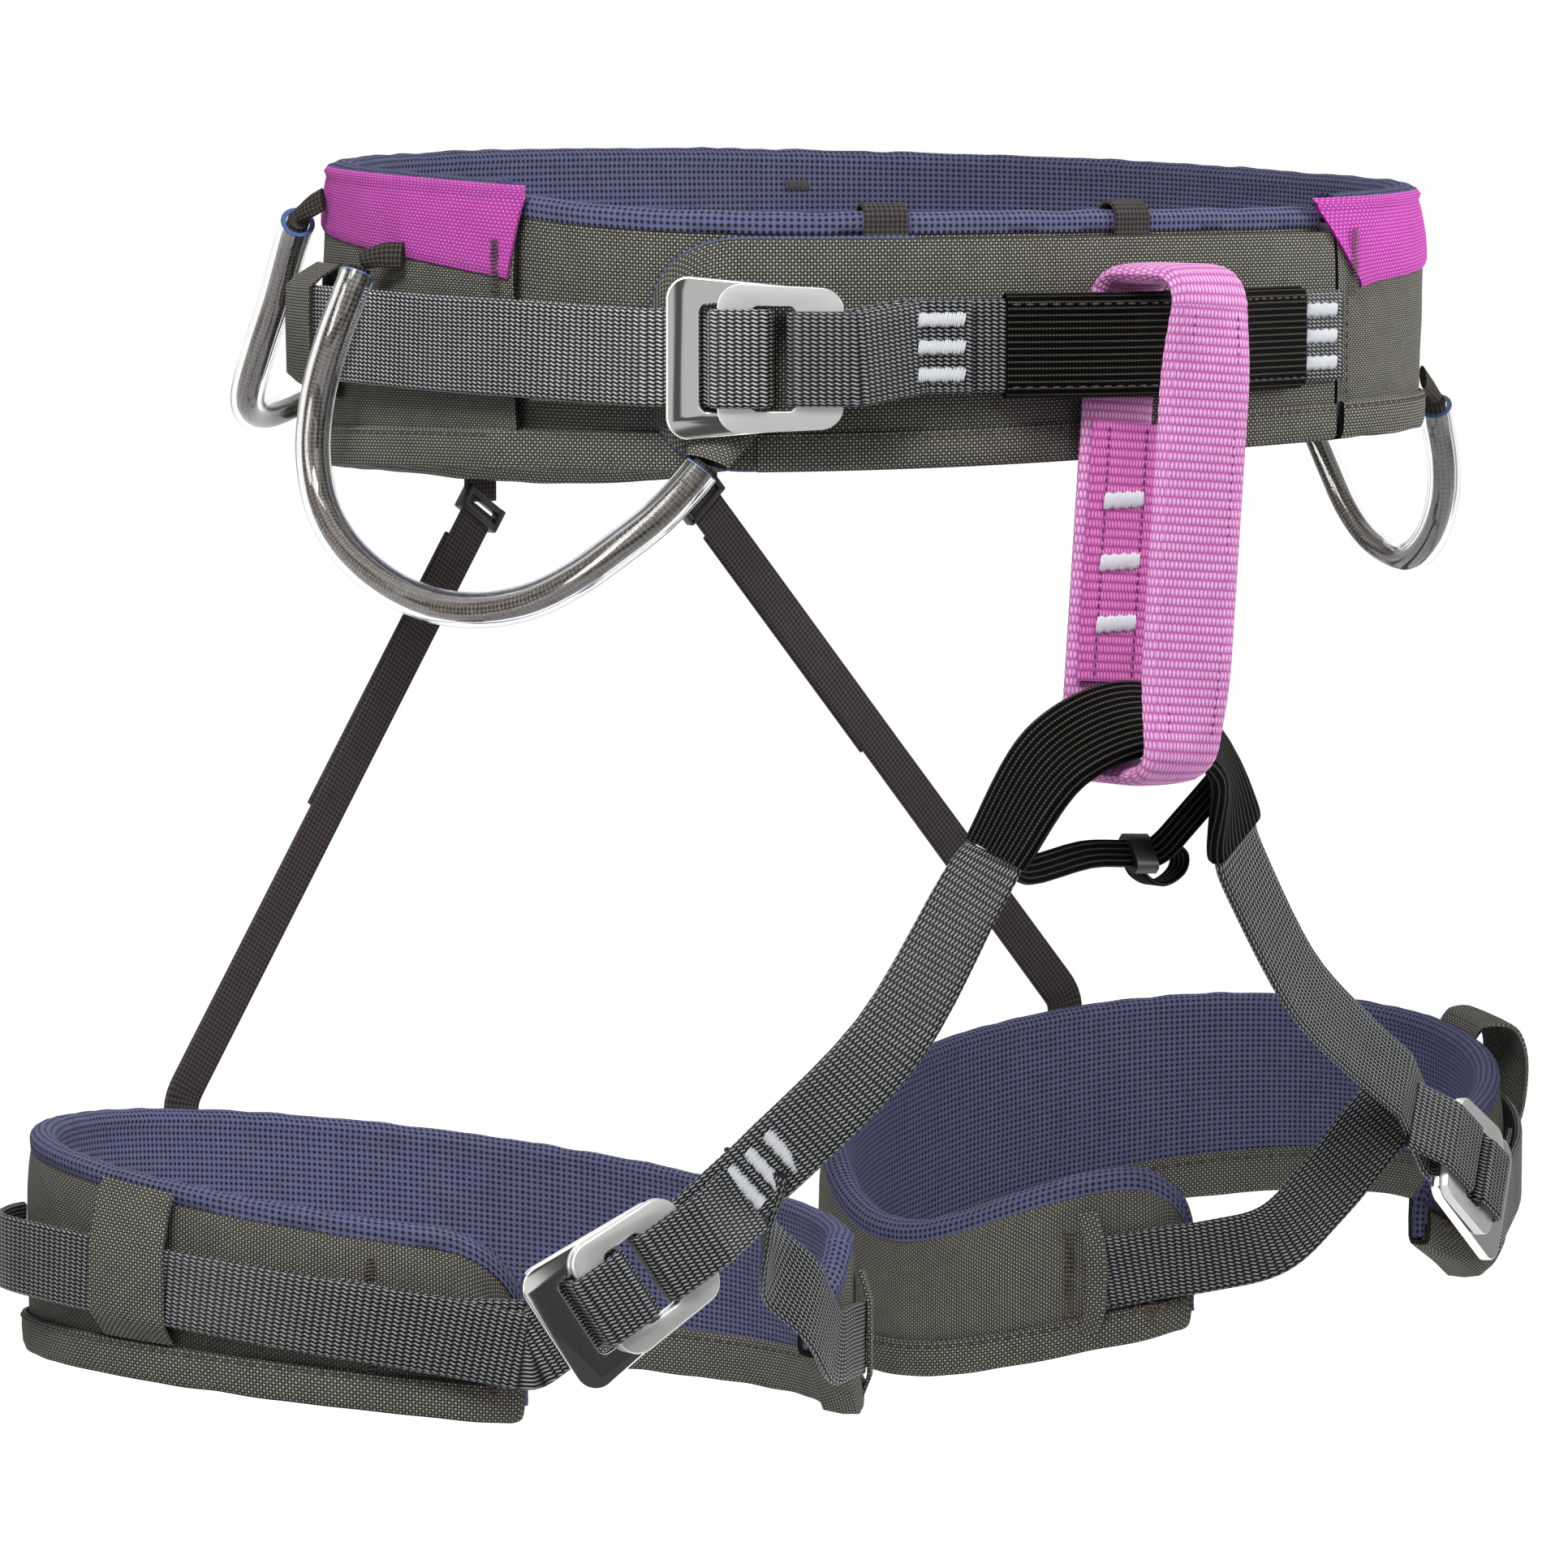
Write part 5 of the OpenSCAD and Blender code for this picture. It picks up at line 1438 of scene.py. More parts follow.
@dataclass
class WaistStrap:
    """Waist webbing, its buckle, the cloth tunnel and the tie-in strap with its sleeve and tacks."""

    web_w: float = 25.0
    web_t: float = 2.2
    z: float = -5.5
    shell_out: float = 9.4
    flap_out: float = 7.9
    tie_in_off: float = 21.1
    tie_in_w: float = 24.0
    sleeve_t: float = 1.2
    gap: float = 0.4
    tunnel_ends: tuple[float, float] = (239.0, 250.0)
    buckle_at: float = 306.5
    buckle_lift: float = 6.2
    seat: BuckleSeat = field(init=False)

    def __post_init__(self) -> None:
        """Sets the buckle on the flap."""
        phi = self.buckle_at
        o = BELT.at(phi, self.flap_out + self.buckle_lift, self.z - 1.5) / MM
        self.seat = BuckleSeat(o, BELT.along(phi), BELT.out(phi))

    def tie_in_curve(self) -> list[Vector]:
        """Angles and offsets of the tie-in strap."""
        f, t = self.flap_out, self.tie_in_off
        keys = [(320, f + 5.2), (324, f + 4.5), (331, f + 7), (340, t), (350, t + 2.6), (360, t),
                (369, f + 6.5), (377, f + 3.6), (383, f + 2.4), (388.3, f + 1.9)]
        return curve([Vector((a, b, 0)) for a, b in keys], 2)

    def tie_in_offset(self, phi: float) -> float:
        """Offset of the tie-in strap at an angle."""
        pts = self.tie_in_curve()
        for a, b in zip(pts, pts[1:]):
            if a.x <= phi <= b.x:
                return mix(a.y, b.y, (phi - a.x) / (b.x - a.x))
        return pts[0].y

    def webbing(self) -> None:
        """Makes the adjustable webbing through the buckle."""
        s = self.shell_out
        keys = [(239.5, s + 2.5, 2), (243, s + 6, 2), (248, s + 7.5, 2), (258, s + 6, 1.5), (270, s + 5, 0.5),
                (282, s + 4.6, 0), (291, s + 4.6, -1)]
        tail = [(297, self.flap_out + 2.6, -1.5), (291, s + 1.7, -1.2), (284, s + 1.5, -1)]
        pts = [BELT.at(q.x, q.y, self.z + q.z) for q in curve(vectors(*keys), 4)]
        pts += [p * MM for p in self.seat.placed(ROUTE.adjustable())]
        pts += [BELT.at(a, b, self.z + c) for a, b, c in tail]
        obj = strap("waist_webbing", pts, UP, self.web_w, self.web_t, WEBBING)
        piece(obj, "waist", "grey_webbing", "waist_webbing")

    def tunnel(self) -> None:
        """Makes the cloth strip over the webbing at the right hip."""
        rise, foot = self.shell_out + 7.5 + 1.5, self.shell_out + 0.3
        top, low = self.z + 2 + self.web_w / 2 + 0.4, self.z + 2 - self.web_w / 2 - 0.4
        outer = [(foot + 1, low - 5), (rise - 2, low - 1.5), (rise + 0.7, low + 1), (rise + 1, 0),
                 (rise + 0.7, top - 1), (rise - 2, top + 1.5), (foot + 1, top + 5)]
        section = outer + [(o - 1.0, z) for o, z in reversed(outer)]
        lay = PadLayers(BELT, *self.tunnel_ends, BELT.reach, 2.0, step=0.9)
        obj = lay.lay("webbing_tunnel", lambda phi: section, GREY)
        piece(obj, "waist", "grey_fabric", "webbing_tunnel")

    def tie_in(self) -> None:
        """Makes the tie-in strap, its black sleeve and its white tacks."""
        lift = self.web_t + self.gap
        sewn = [BELT.at(phi, self.tie_in_offset(phi) + lift, self.z + 1) for phi in (327, 322)]
        path = [BELT.at(q.x, q.y, self.z + 1) for q in self.tie_in_curve()]
        pts = sewn + [p * MM for p in self.seat.placed(ROUTE.fixed())] + path
        obj = strap("tie_in_strap", pts, UP, self.tie_in_w, self.web_t, RISER_WEB)
        piece(obj, "waist", "grey_webbing", "tie_in_strap")
        add, covered = 2 * (self.sleeve_t + self.gap), slice(4, 16)
        w, t = self.tie_in_w + add, self.web_t + add
        obj = strap("tie_in_sleeve", path[covered], UP, w, t, SLEEVE, rounds=6)
        piece(obj, "waist", "black_fabric", "tie_in_sleeve")
        marks = []
        for phi, up in ((323.7, lift + 0.5), (384.0, 0.0)):
            off = self.tie_in_offset(phi) + up + 1.3
            for row in (-1, 0, 1):
                middle = BELT.at(phi, off, self.z + 1 + row * 7.0)
                marks += tacked(middle, BELT.along(phi), UP, *WHITE_TACK)
        piece(beads("tie_in_bartacks", marks, WHITE_THREAD), "waist", "white_thread", "tie_in_bartacks")
        marks = []
        for side in (-1, 1):
            line = [BELT.at(q.x, q.y + self.web_t / 2 + 1.7, self.z + 1 + side * 10.6)
                    for q in self.tie_in_curve()[covered]]
            marks += stitched(line, 2.6, 1.0)
        piece(beads("sleeve_stitches", marks, GREY_THREAD), "waist", "black_fabric")

    def build(self) -> None:
        """Makes the strap's pieces."""
        self.tunnel()
        self.webbing()
        metal_plate("waist_buckle_frame", "waist", 1.2)
        metal_plate("waist_buckle_slider", "waist_slider", 1.1, SATIN)
        self.tie_in()


@dataclass
class BelayLoop:
    """Ribbed tape loop with its sewn overlap and white tacks."""

    w: float = 24.0
    t: float = 5.6
    depth: float = 38.0
    h: float = 134.0
    x: float = -24.0
    y: float = -142.9
    top: float = 16.5
    corner: float = 8.0
    rib: float = 2.3
    lean: float = 4.6
    turn: float = 25.0
    tacks: tuple[float, ...] = (-45.0, -61.0, -77.0)
    overlap: tuple[float, ...] = (-25.0, -50.0, -92.0)
    seams: tuple[float, float] = (-6.2, 7.0)

    def hung(self, p: Vector) -> Vector:
        """A point in mm once the loop leans on the sleeve, in metres."""
        hang = Vector((self.x, self.y, self.top))
        return (hang + Matrix.Rotation(math.radians(self.lean), 3, "Y") @ (p - hang)) * MM

    def path(self) -> list[Vector]:
        """Middle line of the upright loop, in mm."""
        low = self.top - self.h
        made = []
        for quarter in range(4):
            sy = -1 if quarter in (0, 3) else 1
            y = self.y + sy * (self.depth / 2 - self.t / 2 - self.corner)
            z = self.top - self.t / 2 - self.corner if quarter < 2 else low + self.t / 2 + self.corner
            for a in steps(quarter * 90, quarter * 90 + 90, 7.5):
                r = math.radians(a)
                made.append(Vector((self.x, y - self.corner * math.cos(r), z + self.corner * math.sin(r))))
        return made + [made[0]]

    def wide(self, p: Vector) -> Vector:
        """Direction across the tape: its front strand turns a little to the wearer's right."""
        low = self.top - self.h
        share = held((self.y - p.y) / 10) * held((self.top - p.z) / 34) * held((p.z - low) / 34)
        a = math.radians(self.turn) * smooth(share)
        return Vector((math.cos(a), -math.sin(a), 0))

    def build(self) -> None:
        """Makes the loop, its overlap and its stitches."""
        pts = self.path()
        path, _ = resample(pts, pts, 0.55, 20)
        path[0] = path[-1] = (path[1] + path[-2]) / 2
        across = [self.wide(p) for p in path]
        section = strap_section(self.w, self.t, 12)
        half = self.w / 2
        section = [(x, y * (1 - 0.3 * (abs(x) / half) ** 2.5)) for x, y in section]
        hung = [self.hung(p) for p in path[:-1]]
        obj = sweep("belay_loop", hung, across[:-1], section, TAPE, ring=True, rib=self.rib, rib_depth=0.25)
        piece(obj, "belay", "pink_tape", "belay_loop")
        side = Vector((1, 0, 0))
        rear = self.y + self.depth / 2 - self.t
        line = [self.hung(Vector((self.x, rear - 0.9, z))) for z in self.overlap]
        obj = strap("belay_overlap", line, side, self.w - 1.2, 1.8, TAPE_INNER, rounds=0)
        piece(obj, "belay", "pink_tape", "belay_overlap")
        marks = []
        for z in self.tacks:
            marks += tacked(self.hung(Vector((self.x, rear - 2.1, z))), side, UP, 13.0, 5.2)
        piece(beads("belay_bartacks", marks, WHITE_THREAD), "belay", "white_thread", "belay_bartacks")
        marks = []
        front = self.y - self.depth / 2
        for x in self.seams:
            out = []
            for z in steps(4.0, -104.0, 3):
                p = Vector((self.x, front, z))
                out.append(self.hung(p + self.wide(p) * x + Vector((0, 0.35, 0))))
            inner = [self.hung(Vector((self.x + x, rear - 1.9, z))) for z in steps(-26.0, -91.0, 3)]
            marks += stitched(out, 1.7, 0.5) + stitched(inner, 1.7, 0.5)
        piece(beads("belay_stitches", marks, PLUM_THREAD), "belay", "pink_tape")


@dataclass
class GearLoop:
    """A cord in a clear tube, held by two sewn tabs.

    Attributes:
        name: which of the four it is.
        keys: angle, offset and height along its route.
        seats: angle, offset and height of the seams of its upper and lower tab.
        tube_r, bore_r, cord_r: radius of the tube, of its bore and of the cord, in mm.
        tab_w: width of a tab in mm.
    """

    TUBE_SIDES: ClassVar[int] = 24
    CORD_SIDES: ClassVar[int] = 14

    name: str
    keys: list[Vector]
    seats: tuple[tuple[float, float, float], tuple[float, float, float]]
    tube_r: float = 4.7
    bore_r: float = 3.3
    cord_r: float = 3.05
    tab_w: float = 7.0

    def path(self) -> list[Vector]:
        """Middle line of the loop."""
        pts = BELT.route(self.keys, 6)
        return resample(pts, pts, 1.6 * MM, 2)[0]

    def circles(self, path: Sequence[Vector], r: float, k: int) -> list[Ring]:
        """Rings of a round section along the path, turned as little as possible."""
        rings, side = [], BELT.out(self.keys[0].x)
        for p, d in zip(path, tangents(path)):
            side = squared(side, d)
            other = d.cross(side)
            rings.append([p + (side * math.cos(a) + other * math.sin(a)) * r * MM
                          for a in [2 * math.pi * j / k for j in range(k)]])
        return rings

    def build(self) -> None:
        """Makes tube, cord and the sewn ends of the cord."""
        body = "gear_" + self.name
        path = self.path()
        tube = path[1:-1]
        rings = self.circles(tube, self.tube_r, self.TUBE_SIDES)
        rings += reversed(self.circles(tube, self.bore_r, self.TUBE_SIDES))
        obj = skin("gear_tube_" + self.name, rings, CLEAR, ring=True, sharp=60.0)
        obj.visible_shadow = False
        piece(obj, body, "clear_tube", "gear_tube_" + self.name)
        obj = skin("gear_cord_" + self.name, self.circles(path, self.cord_r, self.CORD_SIDES), BRAID)
        piece(obj, body, "black_fabric", "gear_cord_" + self.name)
        wide, narrow = [self.circles(tube, r, self.TUBE_SIDES)
                        for r in (self.tube_r - RIM_INSET, self.bore_r + RIM_INSET)]
        for k in (0, -1):
            d = tangents(tube)[k] * (-0.12 if k == 0 else 0.12) * MM
            ring = [[q + way * d for q in rim[k]]
                    for rim, way in ((wide, 1), (narrow, 1), (narrow, -1), (wide, -1))]
            obj = skin(f"gear_rim_{self.name}_{k % 2}", ring, CUT_RIM, ring=True)
            piece(obj, body, "clear_tube")
        for which, seat in zip(("upper", "lower"), self.seats):
            tip, near = (path[0], path[3]) if which == "upper" else (path[-1], path[-4])
            self.tab(which, tip, (tip - near).normalized(), seat)

    def tab(self, which: str, tip: Vector, away: Vector, seat: tuple[float, float, float]) -> None:
        """Makes the flat sewn end of the cord.

        Args:
            which: upper or lower.
            tip: the cord's end.
            away: the direction out of the tube there.
            seat: angle, offset and height of the seam.
        """
        foot = BELT.at(*seat)
        under = which == "lower" and self.name == "right_front"
        bulges = (0.9, 0.0, 0.0) if under else (2.1, 2.2, 1.2)
        pts = [tip.lerp(foot, share) + away * bulge * MM
               for share, bulge in zip((0.0, 0.35, 0.7), bulges)] + [foot]
        wide = BELT.out(seat[0]).cross(foot - tip).normalized()
        path, across = resample(pts, [wide] * 4, 0.8 * MM, 4)
        n = len(path) - 1
        rings = []
        for i, (p, d, a) in enumerate(zip(path, tangents(path), across)):
            w = mix(self.cord_r - 0.8, self.tab_w / 2, min(1.0, 1.6 * i / n))
            t = mix(self.cord_r - 0.8, 1.0, min(1.0, 1.3 * i / n))
            if under:
                w, t = mix(5.4, 9.5, i / n), mix(1.6, 0.8, i / n)
            a = squared(a, d)
            out = a.cross(d)
            rings.append([p + (a * w * math.cos(q) + out * t * math.sin(q)) * MM
                          for q in steps(0, 2 * math.pi, 0.45)[:-1]])
        obj = skin(f"gear_tab_{self.name}_{which}", rings, GREY if under else BRAID)
        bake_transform(obj, "waist", "gear_" + self.name, start=foot, end=pts[0])
        piece(obj, "waist", "black_fabric", "gear_loop_tabs")


def mirrored(keys: Sequence[Vector]) -> list[Vector]:
    """Keys of a loop on the other hip."""
    return [Vector((360 - q.x, q.y, q.z)) for q in keys]


def gear_loops() -> list[GearLoop]:
    """The four gear loops, each by the angles, offsets and heights of its route and its seams."""
    front = vectors(
        (259.6, 18, 14), (259.5, 21.6, 5.6), (258.3, 23.6, -3.4), (255.9, 23.9, -16), (254.9, 24.4, -27),
        (255, 24.8, -37.5), (256.9, 25.2, -49), (261, 25.4, -59), (267.3, 25.5, -67), (274.6, 25, -71.8),
        (281.2, 24, -72.8), (287.1, 22.5, -70), (292.1, 22, -63.3), (296.4, 21.4, -54.2),
        (299.1, 20.2, -47.4), (301.3, 18.6, -40), (302.8, 16.8, -34))
    left = vectors(
        (98.5, 17.6, 14.5), (98, 21.2, 8), (96.5, 23.6, -2), (94, 24.2, -18), (90, 25.3, -34),
        (86.8, 26, -48), (83.8, 26, -59.5), (80, 26, -68.2), (75, 26, -72.2), (71.5, 25.5, -68.7),
        (68.6, 25, -61), (66.5, 24, -51.5), (65.5, 22.5, -42), (64.5, 19.5, -32), (63, 17, -26))
    rear = vectors(
        (242, 16, 26), (239.5, 17.5, 20), (236, 22, 5), (233.5, 28, -10), (230.5, 34, -24), (225, 36, -29.5),
        (218, 34, -25), (211, 28, -12), (206.5, 20.5, 1), (204, 16, 7))
    seat = 10.6
    return [
        GearLoop("right_front", front, ((263.5, seat + 0.6, 17.5), (304.2, 10.0, -22.5))),
        GearLoop("left_front", left, ((95.0, seat + 0.6, 17.5), (58.5, seat, -18.5))),
        GearLoop("right_rear", rear, ((245.0, seat + 0.2, 31.5), (199.5, seat, 13.0))),
        GearLoop("left_rear", mirrored(rear), ((115.0, seat + 0.2, 31.5), (160.5, seat, 13.0))),
    ]


@dataclass
class RearRiser:
    """Elastic strap from an adjuster under the belt to the back of a leg loop.

    Attributes:
        leg: the leg loop's surface.
        foot_at: angle where it meets the leg loop.
        at, off, top_z: angle, offset and height of its upper end on the belt.
        w, t: its width and thickness in mm.
        lock_w, lock_h, lock_t: width, height and thickness of the adjuster in mm.
        rail, rail_at: width of the adjuster's sides and how far out they sit, in mm.
    """

    leg: LegSurface
    foot_at: float
    at: float = 203.0
    off: float = 5.0
    w: float = 12.0
    t: float = 1.8
    top_z: float = -56.5
    lock_w: float = 15.8
    lock_h: float = 7.0
    lock_t: float = 3.4
    rail: float = 2.0
    rail_at: float = 7.0

    def build(self) -> None:
        """Makes elastic, doubled length, adjuster and tab."""
        side = "left" if self.leg.left else "right"
        top = self.leg.side(BELT.at(self.at, self.off, self.top_z - 0.5))
        leg_top, face = self.leg.top(self.foot_at), self.leg.shell_out + self.t / 2
        rim = self.leg.at(self.foot_at, face + 1, leg_top + 3)
        foot = self.leg.at(self.foot_at, face + 0.4, leg_top - 14)
        way = (rim - top).normalized()
        out = self.leg.side(BELT.out(self.at))
        wide = way.cross(out).normalized()
        low = self.leg.side(self.leg.along(self.foot_at))
        low = low if low.dot(wide) > 0 else -low
        pts = [top, top.lerp(rim, 0.5), rim, foot]
        across = [wide, wide, wide.lerp(low, 0.6), low]
        obj = strap("rear_riser_" + side, pts, across, self.w, self.t, ELASTIC, step=2.0, rounds=3)
        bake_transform(obj, "waist", side + "_leg", start=top + way * 0.012, end=rim)
        piece(obj, "waist", "black_fabric", "rear_riser_" + side)
        lift = out * (self.t * 0.95 + 0.2) * MM
        share = 0.47 if side == "left" else 0.52
        pts = [top + lift + way * 0.011, top.lerp(rim, share * 0.5) + lift, top.lerp(rim, share) + lift]
        obj = strap("riser_tail_" + side, pts, wide, self.w, self.t * 0.9, ELASTIC, step=2.0, rounds=0)
        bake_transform(obj, "waist", side + "_leg", start=top + way * 0.012, end=rim)
        piece(obj, "waist", "black_fabric")
        self.adjuster(side, top, way, wide, out)

    def adjuster(self, side: str, top: Vector, way: Vector, wide: Vector, out: Vector) -> None:
        """Makes the ladder-lock and the tab that it hangs on.

        Args:
            side: left or right.
            top: the upper end of the elastic.
            way: direction down the elastic.
            wide: direction across it.
            out: direction out of it.
        """
        bm = bmesh.new()
        turn = Matrix((wide, way, out)).transposed().to_4x4()
        rail = (self.rail, self.lock_h, self.lock_t)
        bars = [(0.0, -2.4, (self.lock_w, 2.0, 2.8)), (0.0, 2.6, (self.lock_w, 2.2, self.lock_t)),
                (-self.rail_at, 0.1, rail), (self.rail_at, 0.1, rail)]
        for aside, down, size in bars:
            place = Matrix.Translation(top + (way * down + wide * aside) * MM) @ turn
            block = Matrix.Diagonal((*[x * MM for x in size], 1))
            bmesh.ops.create_cube(bm, size=1.0, matrix=place @ block)
        rounded(bm, bm.edges[:], 0.5, 2)
        lock = finish_mesh("riser_adjuster_" + side, bm, BLACK, 40.0)
        piece(lock, "waist", "black_plastic", "riser_adjusters")
        hem = self.leg.side(BELT.at(self.at, self.off, self.top_z + 12.4))
        pts = [hem, hem.lerp(top, 0.5), top + UP * 0.002]
        obj = strap("riser_tab_" + side, pts, wide, self.w, self.t, ELASTIC, rounds=2)
        piece(obj, "waist", "black_fabric", "riser_tabs")


@dataclass
class LowerTieIn:
    """Black arch that the belay loop holds, and the thin bridge strap with its adjuster.

    Attributes:
        right, right_key, apex, left_key, left: the arch's route, in mm.
        right_wide, apex_wide, left_wide: direction of its width at both ends and at its top.
        w, t: its width and thickness in mm.
        wall: thickness of its cloth in mm.
        cuff: how far its hollow ends reach over the risers, in mm.
        narrow: share of its width that its ends keep.
    """

    right: Vector = point(-72, -132, -132)
    right_key: Vector = point(-59, -139, -109)
    apex: Vector = point(-34, -142.9, -100.2)
    left_key: Vector = point(-3, -137, -110)
    left: Vector = point(15, -127, -134)
    right_wide: Vector = point(0.0, 0.95, 0.32)
    apex_wide: Vector = point(0, 0.74, 0.67)
    left_wide: Vector = point(0.80, 0.10, 0.59)
    w: float = 25.0
    t: float = 5.0
    wall: float = 0.3
    cuff: float = 2.2
    narrow: float = 0.88

    def arch(self) -> None:
        """Makes the black arch, a flat sleeve with open ends."""
        k = 6
        pts = [p * MM for p in curve([self.right, self.right_key, self.apex, self.left_key, self.left], k)]
        wide = curve([self.right_wide, self.right_wide.lerp(self.apex_wide, 0.7), self.apex_wide,
                      self.left_wide.lerp(self.apex_wide, 0.7), self.left_wide], k)
        first, last = [(a - b).normalized() for a, b in ((pts[0], pts[1]), (pts[-1], pts[-2]))]
        pts = [pts[0] + first * self.cuff * MM] + pts + [pts[-1] + last * self.cuff * MM]
        wide = [wide[0]] + wide + [wide[-1]]
        path, across = resample(pts, wide, 1.0 * MM, 3)
        sections = [strap_section(self.w - 2 * x, self.t - 2 * x) for x in (0.0, self.wall)]
        rings = []
        for i, (p, d, a) in enumerate(zip(path, tangents(path), across)):
            full = math.sin(math.pi * i / (len(path) - 1)) ** 0.7
            a = squared(a, d) * mix(self.narrow, 1.0, full)
            out = a.cross(d).normalized()
            rings.append([[p + (a * x + out * y) * MM for x, y in section] for section in sections])
        rings = [r[0] for r in rings] + [r[1] for r in reversed(rings)]
        sleeve = skin("leg_arch_sleeve", rings, SLEEVE, ring=True)
        piece(sleeve, "waist", "black_fabric", "leg_arch_sleeve")

    def bridge(self) -> None:
        """Makes the thin strap behind the arch, its adjuster and its loose tail."""
        keys = vectors((-69.5, -131.6, -133.4), (-62, -130, -139), (-35, -124, -137), (-18, -122, -138),
                       (-8, -122, -138), (0, -125, -130), (9.5, -130, -118))
        pts = [p * MM for p in curve(keys, 4)]
        wide = Vector((0, 0.5, 0.86))
        obj = strap("bridge_strap", pts, wide, 8.0, 1.5, SLEEVE, rounds=2)
        piece(obj, "waist", "black_fabric", "bridge_strap")
        obj = strap("bridge_adjuster", [pts[12], pts[15]], wide, 11.6, 4.2, BLACK, rounds=0)
        piece(obj, "waist", "black_plastic", "bridge_adjuster")
        keys = vectors((-15, -119.6, -138), (-12, -119, -144), (-5, -119, -147), (1, -120, -144),
                       (1, -121, -139), (-4, -120.6, -136))
        tail = [p * MM for p in curve(keys, 4)]
        obj = strap("bridge_tail", tail, Vector((0, 1, 0)), 7.0, 1.3, SLEEVE, rounds=2)
        piece(obj, "waist", "black_fabric")

    def build(self) -> None:
        """Makes arch and bridge strap."""
        self.arch()
        self.bridge()


@dataclass
class LegLoop:
    """Padded leg loop with webbing, buckle, keeper band, inner strap and front riser."""

    surface: LegSurface
    riser_keys: list[Vector]
    riser_wide: Vector
    start: float = -42.0
    end: float = 262.0
    longer_left: float = 9.0
    web_w: float = 20.0
    web_t: float = 2.2
    gap: float = 0.4
    keeper_at: float = 206.0
    keeper_w: float = 24.0
    keeper_gap: float = 2.6
    seat: BuckleSeat = field(init=False)

    def __post_init__(self) -> None:
        """Sets the buckle at the outer front of the thigh."""
        u = Vector((0.80, -0.25, 0.52)).normalized()
        face = Vector((-0.35, -0.93, 0.1))
        self.seat = BuckleSeat(Vector((-154, -77, -245)), u, squared(face, u))

    @property
    def side(self) -> str:
        """Which leg it is."""
        return "left" if self.surface.left else "right"

    @property
    def body(self) -> str:
        """The body that it rides on."""
        return self.side + "_leg"

    @property
    def web_off(self) -> float:
        """Offset of webbing that lies on the pad."""
        return self.surface.shell_out + self.gap + self.web_t / 2

    def sided(self, points: Sequence[Vector]) -> list[Vector]:
        """Points in mm on this leg's side, in metres."""
        return [self.surface.side(p) * MM for p in points]

    def pad(self) -> None:
        """Makes the pad's lining, foam, shell, hem and stitches."""
        s, side = self.surface, self.side
        last, seed, point = self.end, 31.0, (17.0, 0.0)
        if s.left:
            last, seed, point = self.end + self.longer_left, 21.0, (0.0, 17.0)
        lay = PadLayers(s, self.start, last, s.reach, seed, step=1.7, corner_top=20.0, corner_low=2.5,
                        taper=14.0, point=point)
        self.trims(lay)
        self.seams(lay)
        inside = steps(self.start + 5, self.end - 5, 2.0)
        foam = lay.lay("leg_foam_" + side, lay.foam_section, FOAM, angles=inside)
        piece(foam, self.body, "foam", "leg_foam_" + side)
        lining = lay.lay("leg_lining_" + side, lay.lining_section, MESH)
        piece(lining, self.body, "blue_mesh", "leg_lining_" + side)
        shell = lay.lay("leg_shell_" + side, lay.shell_section, GREY)
        piece(shell, self.body, "grey_fabric", "leg_shell_" + side)
        hem = lay.lay("leg_hem_" + side, lay.hem_section, GREY)
        piece(hem, self.body, "grey_fabric", "leg_hem_" + side)
        marks = lay.hem_stitches()
        piece(beads("leg_hem_stitches_" + side, marks, GREY_THREAD), self.body, "grey_fabric")

    def seams(self, lay: PadLayers) -> None:
        """Makes the pocket's edge at the pad's inner end and the brown tacks."""
        s = self.surface

        def spot(t: float, z: float, out: float) -> Vector:
            low, top = lay.bottom(t), lay.top(t)
            return s.at(t, lay.shell_off(t, (z - low) / (top - low)) + out, z)

        q = s.shell_out + self.gap + self.web_t
        keys = [(-25.0, q - 1.6, 17), (-26.2, q + 0.8, 9), (-26.6, q + 0.9, -1), (-26.2, q + 0.8, -11),
                (-25.0, q - 1.6, -17)]
        along = s.side(s.along(-26.0))
        obj = strap("leg_pocket_" + self.side, [s.at(*k) for k in keys], along, 6.0, 1.2, GREY, rounds=3)
        piece(obj, self.body, "grey_fabric")
        marks = tacked(spot(-22.0, -1, 0.5), UP, along, 26.0, 4.0, 1.3, 0.3)
        for t in (lay.start + 7.0, lay.end - 5.0):
            middle, along = spot(t, lay.bottom(t) + 8.0, 2.0), s.side(s.along(t))
            marks += tacked(middle, UP, along, 8.0, 3.6, 1.1, 0.3)
            marks += tacked(middle, along, UP, 8.0, 2.6, 1.1, 0.3)
        t = lay.end - 21.0
        for z in (11.5, -14.0):
            marks += tacked(spot(t, z, 0.5), UP, s.side(s.along(t)), 5.0, 3.4, 1.0, 0.3)
        piece(beads("leg_tacks_" + self.side, marks, BROWN_THREAD), self.body, "grey_fabric")

    def trims(self, lay: PadLayers) -> None:
        """Makes the mesh piping round both ends of the pad."""
        for last, place in ((False, "inner"), (True, "outer")):
            obj = lay.end_trim(f"leg_trim_{place}_{self.side}", last)
            piece(obj, self.body, "blue_mesh")

